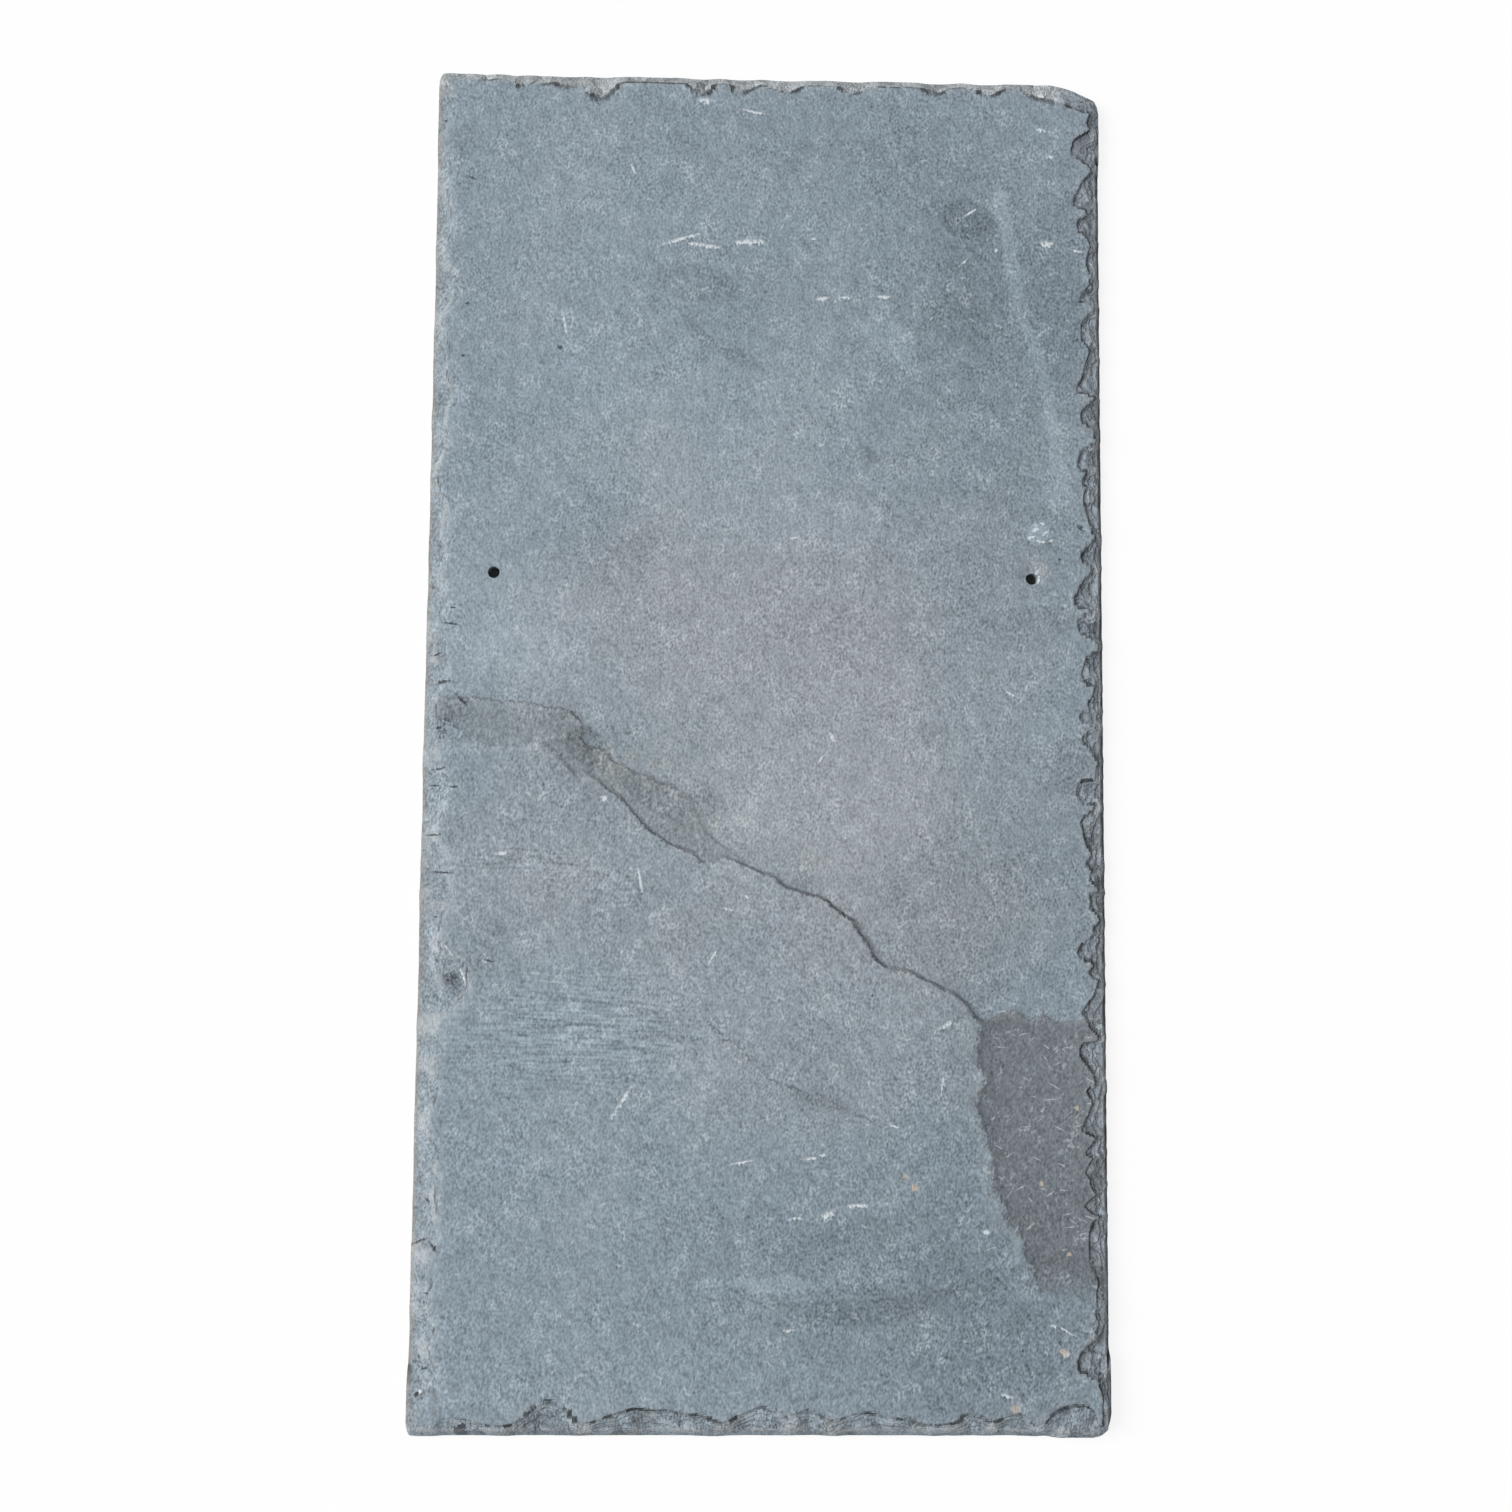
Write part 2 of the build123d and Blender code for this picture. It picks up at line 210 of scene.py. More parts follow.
column_at, row_at = np.meshgrid(np.arange(COLUMNS + 1), np.arange(ROWS + 1))
hole_cells = []
for place, radius in zip(hole_places, hole_radii):
    from_hole = np.hypot(grid_x - place[0], grid_y - place[1])[::BACK_STRIDE, ::BACK_STRIDE]
    row_mid, column_mid = BACK_STRIDE * np.array(np.unravel_index(np.argmin(from_hole), from_hole.shape))
    hole_cells.append((int(column_mid), int(row_mid)))
    # A square ring of cells becomes a circle: its distance is counted in cells, its direction is kept.
    ring = np.maximum(np.abs(column_at - column_mid), np.abs(row_at - row_mid)) / HOLE_HALF_CELLS
    away_x, away_y = grid_x - grid_x[row_mid, column_mid], grid_y - grid_y[row_mid, column_mid]
    reach = np.maximum(np.hypot(away_x, away_y), 1e-9)
    keep = ramp(ring, 1, HOLE_BLEND_CELLS / HOLE_HALF_CELLS)
    grid_x = keep * grid_x + (1 - keep) * (place[0] + radius * ring * away_x / reach)
    grid_y = keep * grid_y + (1 - keep) * (place[1] + radius * ring * away_y / reach)
print("nail holes open at cells", hole_cells)

# %% [markdown]
# ## Drape the grid over the solid
# Each grid point needs the height of the solid under it. Casting rays one by one in Python is slow, so
# a cloud of loose points is dropped on the solid by a Shrinkwrap in Project mode. Real broken rims are
# ragged, so each point looks a little to one side, by noise, and nine looks per point are averaged, as
# an image is smoothed, so that a rim that crosses the grid doesn't come out as a stair.

# %% Heights under the grid
DROP_FROM = TOP + 20
OUTLINE_MARGIN = 0.06
LOOKS = [(across, along) for across in (-0.3, 0, 0.3) for along in (-0.3, 0, 0.3)]


def drop_on_solid(x, y):
    """Height of the solid under each place: points start above it and slide straight down until they
    meet it."""
    cloud = bpy.data.meshes.new("drop_cloud")
    cloud.vertices.add(x.size)
    start = np.stack([x.ravel(), y.ravel(), np.full(x.size, DROP_FROM)], axis=1) * MM
    cloud.vertices.foreach_set("co", start.ravel())
    probe = bpy.data.objects.new("drop_cloud", cloud)
    bpy.context.scene.collection.objects.link(probe)
    drop = probe.modifiers.new("drop", "SHRINKWRAP")
    drop.target = solid
    drop.wrap_method = "PROJECT"
    drop.use_project_z = True
    drop.use_negative_direction = True
    drop.use_positive_direction = False
    settled = probe.evaluated_get(bpy.context.evaluated_depsgraph_get()).data
    landed = np.empty(x.size * 3)
    settled.vertices.foreach_get("co", landed)
    bpy.data.objects.remove(probe)
    bpy.data.meshes.remove(cloud)
    return landed.reshape(-1, 3)[:, 2].reshape(x.shape) / MM


def inside_outline(x, y):
    """The same places, pulled back where they would miss the stone: past the outline or in a nail hole."""
    x = np.clip(x, OUTLINE_MARGIN - WIDTH / 2, WIDTH / 2 - OUTLINE_MARGIN)
    for place, radius in zip(hole_places, hole_radii):
        away_x, away_y = x - place[0], y - place[1]
        reach = np.maximum(np.hypot(away_x, away_y), 1e-9)
        push = np.maximum(1, (radius + OUTLINE_MARGIN) / reach)
        x, y = place[0] + away_x * push, place[1] + away_y * push
    tail_limit = end_line(x, tail_points) + OUTLINE_MARGIN
    head_limit = end_line(x, head_points) - OUTLINE_MARGIN
    return x, np.clip(y, tail_limit, head_limit)


RAGGED, RAGGED_SEED_STEP = [(2.4, 11.0, 11), (1.8, 4.6, 12), (0.8, 1.9, 13)], 5
SIDE_CALM, CALM_FROM, CALM_TO = 0.7, 30.0, 18.0
LEFT_STRAY, LEFT_STRAY_SIZE, LEFT_STRAY_SEED = 8.0, 15.0, 17
LEFT_STRAY_FROM, LEFT_STRAY_TO = 30.0, 12.0


def layered_noise(layers, seed_step=0):
    """The sum of several layers of noise over the face, each given as its height, its size and its seed."""
    return sum(tall * noise(grid_x, grid_y, size, seed + seed_step) for tall, size, seed in layers)


gap_x, gap_y = np.gradient(grid_x, axis=1), np.gradient(grid_y, axis=0)
side_gap = np.minimum(WIDTH / 2 - np.abs(grid_x), LENGTH / 2 - np.abs(grid_y))
calm = 1 - SIDE_CALM * ramp(side_gap, CALM_FROM, CALM_TO)
near_left = ramp(grid_x, LEFT_STRAY_FROM - WIDTH / 2, LEFT_STRAY_TO - WIDTH / 2)
stray_x = calm * layered_noise(RAGGED)
stray_x += LEFT_STRAY * noise(grid_x, grid_y, LEFT_STRAY_SIZE, LEFT_STRAY_SEED) * near_left
stray_y = calm * layered_noise(RAGGED, RAGGED_SEED_STEP)
looks = [
    inside_outline(grid_x + stray_x + across * gap_x, grid_y + stray_y + along * gap_y)
    for across, along in LOOKS
]
found = drop_on_solid(np.stack([x for x, _ in looks]), np.stack([y for _, y in looks]))
missed = found > TOP + 1
found = np.where(missed, np.nan, found)
found[:, np.isnan(found).all(axis=0)] = 0
draped = np.nanmean(found, axis=0)
across_share, along_share = grid_x / WIDTH + 0.5, grid_y / LENGTH + 0.5
print("looks that missed the stone:", int(missed.sum()))
print("heights", np.nanmin(draped), "to", np.nanmax(draped), "mm")

# %% [markdown]
# ## The dressed edges
# A slater trims slate with a blade, which knocks flakes off its edges: each leaves a scar with a sharp
# rim and a flat floor that falls to the edge. The solid has the large scars. Smaller ones overlap them
# here, by a rule that gives each stretch of an edge a tent-shaped rim of its own. A displacement image
# could do the same, but a rule in millimetres keeps its size on any slate.

# %% Helpers for the edges
DRESSED_DEPTH, DRESSED_FADE = 20.0, 4.0
RIM_STEP_SHARE, RIM_RAGGED, RIM_LEAST, RIM_HALF = 0.32, 0.6, 0.4, 0.15
RIM_RAGGED_SIZE, RIM_RAGGED_SEED = 3.2, 87
START_SPREAD, LENGTH_SPREAD, PEAK_FIRST, PEAK_SPREAD, DEPTH_POWER = 0.5, 0.7, 0.15, 0.7, 1.5


def carried_out(height, left_depth):
    """The face's own level, carried straight out to all four edges from as deep as they are dressed."""
    level = height.copy()
    first, last = np.searchsorted(column_x, [left_depth - WIDTH / 2, WIDTH / 2 - DRESSED_DEPTH])
    level[:, :first], level[:, last:] = level[:, [first]], level[:, [last]]
    first, last = np.searchsorted(row_y, [DRESSED_DEPTH - LENGTH / 2, LENGTH / 2 - DRESSED_DEPTH])
    level[:first], level[last:] = level[[first]], level[[last]]
    return level


def mean_round(height, across, along):
    """The mean of each point and its neighbours, so many cells to each side, across and along the slate."""
    block = np.pad(height, ((along, along), (across, across)), mode="edge")
    for axis, cells in ((0, along), (1, across)):
        block = np.lib.stride_tricks.sliding_window_view(block, 2 * cells + 1, axis=axis).mean(axis=-1)
    return block


def blended(first, second, share):
    """The first field where the share is 0, the second where it is 1, and a straight mix between."""
    return first + share * (second - first)


def scar_drop(gap, along, scars):
    """How far overlapping flake scars go down along an edge. Each scar's rim is a tent over its own
    stretch of the edge: it runs straight in to its deepest place and straight out again. The drop is a
    step at the rim, and from there it grows evenly to the edge. Where scars overlap, the deepest counts."""
    drop = np.zeros(gap.shape)
    ragged_gap = gap + RIM_RAGGED * noise(gap, along, RIM_RAGGED_SIZE, RIM_RAGGED_SEED)
    for spacing, shallow, deep, full_drop, seed in scars:
        for neighbour in (-1, 0, 1):
            number = np.floor(along / spacing) + neighbour
            start, length, depth, peak = (scramble(number, 0 * number + value, seed) for value in range(4))
            run = (along / spacing - number - START_SPREAD * start) / (1.0 + LENGTH_SPREAD * length)
            peak = PEAK_FIRST + PEAK_SPREAD * peak
            tent = np.clip(np.minimum(run / peak, (1 - run) / (1 - peak)), 0, 1)
            rim = (shallow + (deep - shallow) * depth**DEPTH_POWER) * tent
            inside = (rim - ragged_gap) / np.maximum(rim, RIM_LEAST)
            own = RIM_STEP_SHARE + (1 - RIM_STEP_SHARE) * np.clip(inside, 0, 1)
            drop = np.maximum(drop, full_drop * own * ramp(rim - ragged_gap, -RIM_HALF, RIM_HALF))
    return drop


right_gap = WIDTH / 2 - grid_x
tail_gap = grid_y - end_line(grid_x, tail_points)
head_gap = end_line(grid_x, head_points) - grid_y
print("least gaps to the right, tail and head:", right_gap.min(), tail_gap.min(), head_gap.min())

# %% [markdown]
# ## Where the edges are dressed
# The solid's height is compared with the face's own level, carried out to the edge: what is missing there
# was flaked off. On a scar's floor the missing depth is squeezed, so that the floors lie flatter than the
# solid's wedges, and the small scars are cut in. The left edge is softer, so it is worn down a little.
# Columns are wide apart at the head and the tail, so the rims are smoothed there.

# %% How deep the edges are flaked
LEFT_FROM_SHARE, LEFT_TO_SHARE, RIGHT_FROM_SHARE, RIGHT_TO_SHARE = 1.1, 0.8, 0.9, 0.5
LEFT_WEAR, WEAR_CELLS, FEATHER_CELLS = 0.5, 3, 9
FEATHER_ACROSS, FEATHER_UPPER, FEATHER_LOWER = (0.86, 0.90), (0.16, 0.13), (0.06, 0.09)
FLOOR_DROP, FLOOR_FALL, WALL_TO, WALL_FROM = 0.45, 0.35, 0.5, 1.8
END_SOFT_ROWS, END_CLEAR_FROM, END_CLEAR_TO = 3, 8.0, 14.0
DRESSED_FROM, DRESSED_TO, LEFT_DRESSED_MORE = 0.12, 0.42, 0.5
# Each row of scars: spacing, shallowest and deepest reach, drop at the edge, and the scramble's seed.
RIGHT_SCARS = [(15.0, 2.5, 9.0, 1.9, 81), (9.0, 1.2, 5.0, 1.7, 82)]
TAIL_SCARS = [(24.0, 2.5, 9.5, 1.9, 84), (13.0, 1.2, 4.5, 1.6, 85)]
HEAD_SCARS = [(11.0, 0.3, 1.8, 0.8, 86)]

left_side = ramp(
    grid_x, LEFT_FROM_SHARE * DRESSED_DEPTH - WIDTH / 2, LEFT_TO_SHARE * DRESSED_DEPTH - WIDTH / 2
)
right_side = ramp(right_gap, RIGHT_FROM_SHARE * DRESSED_DEPTH, RIGHT_TO_SHARE * DRESSED_DEPTH)
feathered = ramp(across_share, *FEATHER_ACROSS)
feathered = feathered * ramp(along_share, *FEATHER_UPPER) * ramp(along_share, *FEATHER_LOWER)
worn = blended(draped, mean_round(draped, WEAR_CELLS, WEAR_CELLS), LEFT_WEAR * left_side)
worn = blended(worn, mean_round(worn, 0, FEATHER_CELLS), feathered)
face_level = carried_out(draped, DRESSED_DEPTH)
face_level = blended(face_level, mean_round(face_level, 0, FEATHER_CELLS), feathered)
drop = np.maximum(face_level - worn, 0)
scarred = np.zeros(drop.shape)
for gap, along, scars in [
    (right_gap, grid_y, RIGHT_SCARS), (tail_gap, grid_x, TAIL_SCARS), (head_gap, grid_x, HEAD_SCARS)
]:
    on_floor = ramp(gap, WALL_TO, WALL_FROM) * ramp(gap, DRESSED_DEPTH + DRESSED_FADE, DRESSED_DEPTH)
    floor_drop = np.minimum(drop, FLOOR_DROP + FLOOR_FALL * np.maximum(drop - FLOOR_DROP, 0))
    drop = blended(drop, floor_drop, on_floor)
    scarred = np.maximum(scarred, scar_drop(gap, along, scars))
drop = np.maximum(drop, scarred)
at_end = ramp(np.minimum(tail_gap, head_gap), DRESSED_DEPTH + DRESSED_FADE, DRESSED_DEPTH)
at_end = at_end * ramp(right_gap, END_CLEAR_FROM, END_CLEAR_TO)
worn = face_level - drop
worn = blended(worn, mean_round(worn, 1, END_SOFT_ROWS), at_end)
drop = blended(drop, mean_round(drop, 1, END_SOFT_ROWS), at_end)
dressed = ramp(drop, DRESSED_FROM, DRESSED_TO + LEFT_DRESSED_MORE * left_side)
print("share of the grid that is dressed edge:", float(dressed.mean()))

# %% [markdown]
# ## Relief of split stone
# A riven face is never flat: it has broad waves, thin leaves of stone that stop short, small pits and a
# felt of fine grain. The flaked edges are rougher, and there the slate's beds show as small terraces.
# Grain finer than the grid is left to the material. Everything else is real height, added by formula, so
# that the shape holds in any light and in the bare mesh.

# %% Roughen the face and the edges
BED, BED_CRISPNESS, LEFT_BED_SHARE = 0.45, 3.0, 0.35
LEFT_LUMPS, LEAST_HEIGHT = 0.15, 0.7
FACE_WAVES = [(0.16, 66.0, 21), (0.09, 27.0, 22), (0.045, 9.0, 23), (0.03, 4.0, 24)]
EDGE_LUMPS = [(0.40, 7.0, 31), (0.22, 3.2, 32), (0.08, 1.5, 33)]
LEAF_RISE, LEAF_SIZE, LEAF_STRETCH, LEAF_CRISPNESS = 0.05, 46.0, 0.6, 7.0
LEAF_COUNT, LEAF_RAGGED, LEAF_RAGGED_SIZE, LEAF_SEED, LEAF_RAGGED_SEED = 2.6, 0.5, 8.0, 25, 26
LIP_RAGGED, LIP_RAGGED_SIZE, LIP_SEED, LIP_HALF, LIP_END = 2.2, 6.0, 41, 0.7, 10.0
# Each lip: its line in shares of the slate, its rise, and how fast it dies away behind the line.
LIPS = [
    (
        [(0.395, 0.304), (0.430, 0.287), (0.454, 0.278), (0.511, 0.250), (0.597, 0.236), (0.684, 0.215)],
        0.28, 14.0,
    ),
    ([(0.470, 0.114), (0.608, 0.114), (0.659, 0.128)], 0.16, 9.0),
    ([(0.574, 0.099), (0.705, 0.101), (0.781, 0.107)], 0.16, 9.0),
]
# Each pit: its place in shares of the slate, its radius and its depth.
PITS = [
    ((0.014, 0.030), 0.95, 0.9), ((0.012, 0.961), 0.7, 0.7), ((0.136, 0.823), 0.8, 0.3),
    ((0.189, 0.788), 1.3, 0.25), ((0.894, 0.622), 3.4, 0.5),
]


def behind_lip(line_shares):
    """How far each point lies behind a leaf's ragged line, and from 0 to 1 how clear it is of its ends."""
    line_x, line_y = from_shares(line_shares)
    behind = np.interp(grid_x, line_x, line_y) - grid_y
    behind = behind + LIP_RAGGED * noise(grid_x, grid_y, LIP_RAGGED_SIZE, LIP_SEED)
    first, last = line_x[0], line_x[-1]
    return behind, ramp(grid_x, first, first + LIP_END) * ramp(grid_x, last, last - LIP_END)


def lip(line_shares, rise, fall_off):
    """A thin leaf that stops along a line: a small step at the line, which dies away behind it with
    distance (e to the minus distance over fall-off) and towards both of its ends."""
    behind, clear = behind_lip(line_shares)
    return rise * clear * ramp(behind, -LIP_HALF, LIP_HALF) * np.exp(-np.maximum(behind, 0) / fall_off)


waves = layered_noise(FACE_WAVES)
leaf_field = LEAF_COUNT * noise(grid_x, LEAF_STRETCH * grid_y, LEAF_SIZE, LEAF_SEED)
leaf_field = leaf_field + LEAF_RAGGED * noise(grid_x, grid_y, LEAF_RAGGED_SIZE, LEAF_RAGGED_SEED)
waves = waves + LEAF_RISE * beds(leaf_field, 1.0, LEAF_CRISPNESS)
waves = waves + sum(lip(*each) for each in LIPS)
lip_gap, lip_clear = behind_lip(LIPS[0][0])
for share, radius, depth in PITS:
    pit_x, pit_y = from_shares(share)
    waves = waves - depth * np.exp(-((grid_x - pit_x) ** 2 + (grid_y - pit_y) ** 2) / radius**2)
lumps = layered_noise(EDGE_LUMPS)
bed_height = worn + dressed * lumps
bedded = dressed * (1 - (1 - LEFT_BED_SHARE) * left_side)
stepped = blended(bed_height, beds(bed_height, BED, BED_CRISPNESS), 1 - at_end)
height = worn + (1 - dressed) * waves + bedded * (stepped - worn)
height = np.maximum(height + LEFT_LUMPS * (dressed - bedded) * lumps, LEAST_HEIGHT)
print("relief adds", float((height - draped).min()), "to", float((height - draped).max()), "mm")

# %% [markdown]
# ## Broad tones
# The face isn't one colour: the middle is warmer, the broken patches are darker, and pale deposits lie
# below the ledge. The right side is darker too, partly in its own tone and partly as painted shade,
# where the light falls off away from the sun. Painting them as an image would tie them to one size.
# Here each is a sum of soft bells, placed and sized as shares of the slate, and kept as a number on the
# points.

# %% Soft bells on the face
# Each bell: its place across and along, its half-width across and along, and its amount.
WARM_BELLS = [
    (0.58, 0.535, 0.32, 0.16, 1.0), (0.75, 0.37, 0.20, 0.09, 0.45), (0.53, 0.27, 0.24, 0.07, 0.4),
    (0.14, 0.40, 0.18, 0.08, 0.6), (0.30, 0.60, 0.25, 0.10, 0.4), (0.35, 0.36, 0.20, 0.05, 0.3),
    (0.66, 0.08, 0.14, 0.03, -0.3),
]
# Shade bells: the stone's own lighter and darker places, and painted shade that darkens the right side, away
# from the light.
SHADE_BELLS = [
    (0.88, 0.83, 0.24, 0.14, -0.18), (0.90, 0.06, 0.30, 0.09, -0.22), (0.60, 0.12, 0.24, 0.06, -0.13),
    (0.88, 0.62, 0.18, 0.09, -0.10), (0.88, 0.38, 0.22, 0.08, -0.16), (0.55, 0.47, 0.26, 0.10, 0.05),
    (0.20, 0.43, 0.18, 0.05, 0.03), (0.035, 0.513, 0.03, 0.012, -0.12), (0.215, 0.503, 0.03, 0.02, -0.14),
    (0.10, 0.60, 0.16, 0.12, 0.03),
    (0.11, 0.575, 0.10, 0.04, 0.09), (0.27, 0.63, 0.07, 0.03, -0.08), (0.46, 0.437, 0.06, 0.012, 0.09),
    (0.62, 0.235, 0.16, 0.05, -0.10), (0.79, 0.24, 0.06, 0.11, -0.13), (0.55, 0.95, 0.25, 0.04, -0.08),
    (0.80, 0.845, 0.06, 0.05, -0.08), (0.95, 0.80, 0.05, 0.06, -0.10), (0.23, 0.775, 0.10, 0.05, 0.06),
    (0.46, 0.70, 0.13, 0.06, 0.06), (0.20, 0.315, 0.10, 0.04, 0.05), (0.62, 0.57, 0.10, 0.03, -0.06),
    (0.24, 0.46, 0.10, 0.04, -0.10), (0.45, 0.36, 0.14, 0.03, -0.06),
    (0.46, 0.83, 0.09, 0.03, -0.07), (0.97, 0.48, 0.06, 0.05, -0.10),
]
DEPOSIT_BELLS = [
    (0.31, 0.475, 0.07, 0.016, 1.0), (0.42, 0.435, 0.05, 0.012, 0.7), (0.56, 0.41, 0.05, 0.01, 0.4),
    (0.875, 0.626, 0.012, 0.004, 1.0), (0.907, 0.624, 0.011, 0.005, 1.0), (0.904, 0.610, 0.008, 0.003, 0.8),
]
SKIN_SEAM_BELLS = [
    (0.13, 0.522, 0.12, 0.02, 0.85), (0.235, 0.500, 0.04, 0.03, 1.0), (0.34, 0.465, 0.10, 0.03, 0.6),
    (0.62, 0.360, 0.24, 0.06, 1.0), (0.89, 0.310, 0.08, 0.03, 0.4),
]
CRUST_SEAM_BELLS = [
    (0.035, 0.510, 0.03, 0.02, 0.9), (0.33, 0.435, 0.11, 0.035, 1.0), (0.62, 0.360, 0.24, 0.06, 1.0),
    (0.81, 0.250, 0.05, 0.07, 0.30),
]
BRUSHED_BELLS = [(0.23, 0.283, 0.19, 0.045, 1.0), (0.14, 0.405, 0.12, 0.012, 0.8)]


def bells(table):
    """The sum of soft bells: each is its amount times e to the minus squared distance, in its own radii."""
    return sum(
        amount * np.exp(-(((across_share - x) / half_x) ** 2 + ((along_share - y) / half_y) ** 2))
        for x, y, half_x, half_y, amount in table
    )


masks = {
    "warmth": np.clip(bells(WARM_BELLS), 0, 1),
    "shade": bells(SHADE_BELLS),
    "deposit": np.clip(bells(DEPOSIT_BELLS), 0, 1),
    "skin_seam": np.clip(bells(SKIN_SEAM_BELLS), 0, 1),
    "crust_seam": np.clip(bells(CRUST_SEAM_BELLS), 0, 1),
    "brushed": np.clip(bells(BRUSHED_BELLS), 0, 1),
}
print({name: round(float(mask.mean()), 4) for name, mask in masks.items()})

# %% [markdown]
# ## Stains
# Damp and lime leave stains on slate, and unlike the broad tones they have a limit that the eye can see.
# A bell has none, so a stain is an ellipse, and the points keep how deep they lie in it in millimetres.
# The material then draws the limit where that depth, roughened by the grain, passes zero.

# %% Dark stains, pale stains and a pale band
PALE_BAND_SHARES = [(0.849, 0.914), (0.858, 0.876), (0.879, 0.822), (0.916, 0.764), (0.937, 0.685)]
PALE_BAND_HALF, PALE_BAND_AMOUNT = 2.8, 1.15
PALE_BAND_RAGGED, PALE_BAND_RAGGED_SIZE, PALE_BAND_SEED = 1.2, 7.0, 51
NO_STAIN = -9.0
# Each stain: its place across and along, half-length, half-width, tilt in degrees, bend and amount.
DARK_STAINS = [
    (0.796, 0.891, 11.0, 8.0, -20, 0.0, 1.2), (0.390, 0.839, 17.0, 8.0, -12, 0.0, 0.7),
    (0.781, 0.815, 15.0, 9.0, -30, 0.0, 0.45), (0.646, 0.709, 4.5, 4.0, -60, 0.0, 1.1),
    (0.306, 0.639, 9.0, 5.0, 10, 0.0, 0.6), (0.451, 0.784, 12.0, 3.2, -28, 0.0, 1.2),
    (0.395, 0.800, 9.0, 2.8, -50, 0.0, 1.2), (0.529, 0.547, 3.5, 2.5, 0, 0.0, 0.8),
    (0.750, 0.500, 6.0, 4.5, 0, 0.0, 0.6), (0.876, 0.579, 20.0, 8.0, 0, 0.0, 0.45),
    (0.934, 0.472, 10.0, 8.0, 40, 0.0, 0.6), (0.870, 0.409, 3.0, 2.5, 0, 0.0, 0.9),
    (0.694, 0.378, 9.0, 6.0, -30, 0.0, 0.6), (0.105, 0.352, 7.5, 7.0, 0, 0.0, 0.6),
    (0.090, 0.330, 7.0, 6.5, 0, 0.0, 0.8), (0.650, 0.088, 36.0, 5.0, 6, 1.2, 0.9),
    (0.580, 0.236, 14.0, 2.8, -18, 0.3, 1.0), (0.418, 0.450, 9.0, 6.0, -50, 0.0, 1.0),
    (0.564, 0.390, 6.5, 4.0, -30, 0.0, 0.9), (0.340, 0.200, 10.0, 3.0, 0, 0.0, 0.6),
    (0.214, 0.216, 8.0, 2.4, -20, 0.0, 0.7), (0.862, 0.670, 9.0, 4.5, 10, 0.0, 0.5),
    (0.049, 0.321, 4.6, 2.6, -8, 0.0, 1.9), (0.056, 0.314, 5.4, 2.3, -62, 0.0, 1.9),
    (0.238, 0.490, 9.0, 7.0, -45, 0.0, 1.1),
    (0.650, 0.145, 25.0, 4.0, 12, 0.0, 0.45), (0.038, 0.942, 8.0, 5.0, 80, 0.0, 0.7),
    (0.345, 0.452, 19.0, 6.0, -34, 0.0, 0.6),
]
PALE_STAINS = [
    (0.509, 0.107, 26.0, 2.8, -1, 0.0, 1.2), (0.660, 0.112, 22.0, 1.8, 4, 0.0, 0.7),
    (0.683, 0.797, 12.0, 7.0, -50, 0.0, 0.8), (0.930, 0.681, 6.0, 6.0, 0, 0.0, 0.7),
    (0.620, 0.158, 22.0, 2.0, 8, 0.0, 0.5), (0.140, 0.560, 24.0, 9.0, 0, 0.0, 0.5),
    (0.560, 0.655, 28.0, 13.0, 0, 0.0, 0.3), (0.905, 0.651, 5.0, 4.4, 20, 0.0, 1.8),
]


def along_and_across(place_shares, tilt):
    """How far each point lies along and across a tilted line through a place, in millimetres."""
    x, y = from_shares(place_shares)
    turn = math.radians(tilt)
    far_along = (grid_x - x) * math.cos(turn) + (grid_y - y) * math.sin(turn)
    return far_along, (grid_y - y) * math.cos(turn) - (grid_x - x) * math.sin(turn)


def stain_depth(table):
    """How deep a point lies in the nearest stain, in millimetres, below 0 outside it, and that stain's
    amount. A stain is an ellipse, tilted, whose middle line is bent by a share of its half-width."""
    depth, amount = np.full(grid_x.shape, NO_STAIN), np.zeros(grid_x.shape)
    for across, along, half_length, half_width, tilt, bend, strength in table:
        far_along, far_across = along_and_across((across, along), tilt)
        far_along, far_across = far_along / half_length, far_across / half_width
        own = half_width * (1 - np.hypot(far_along, far_across - bend * far_along**2))
        amount = np.where(own > depth, strength, amount)
        depth = np.maximum(own, depth)
    return depth, amount


band_x, band_y = from_shares(PALE_BAND_SHARES)
band_stray = PALE_BAND_RAGGED * noise(grid_x, grid_y, PALE_BAND_RAGGED_SIZE, PALE_BAND_SEED)
off_band = np.abs(grid_x - np.interp(-grid_y, -band_y, band_x) + band_stray)
band_depth = np.minimum(PALE_BAND_HALF - off_band, np.minimum(grid_y - band_y[-1], band_y[0] - grid_y))
stain, stain_amount = stain_depth(DARK_STAINS)
bloom, bloom_amount = stain_depth(PALE_STAINS)
masks["stain"], masks["stain_amount"] = stain, stain_amount
masks["bloom"] = np.maximum(bloom, band_depth)
masks["bloom_amount"] = np.where(band_depth > bloom, PALE_BAND_AMOUNT, bloom_amount)
print("stained:", float((stain > 0).mean()), "bloomed:", float((masks["bloom"] > 0).mean()), "of the points")

# %% [markdown]
# ## Masks that follow the shape
# The finish changes with the shape: shade is painted into hollows, onto steep risers and onto rims that
# face away from the light, crests are rubbed pale and given a painted highlight, and the freshly broken
# patches are darker. Blender's own pointiness value would change with the grid's spacing, so slopes and
# levels are worked out in millimetres and kept on the points.

# %% Slopes, levels and sides
MAIN_LEVEL, SKIN_LEVEL, CRUST_LEVEL, LEFT_PATCH_DEPTH = 5.5, 6.1, 7.0, 9.0
RISER_SLOPES, RISER_LEFT_LESS, HOLLOW_DEPTH = (0.5, 1.5), 0.8, 0.3
CORNER_ACROSS, CORNER_ALONG = (0.76, 0.80), (0.42, 0.36)
FADE_ACROSS, FADE_ALONG = (0.80, 0.86), (0.125, 0.085)
LEE_X, LEE_Y, LEE_SLOPES = 0.93, -0.36, (0.05, 0.3)
END_RIM_ROWS, END_RIM_SHARPNESS, END_BED_LESS = 5, 3.0, 0.85
HEAD_FROM, HEAD_TO, LIP_GAP_MOST = 12.0, 6.0, 9.0


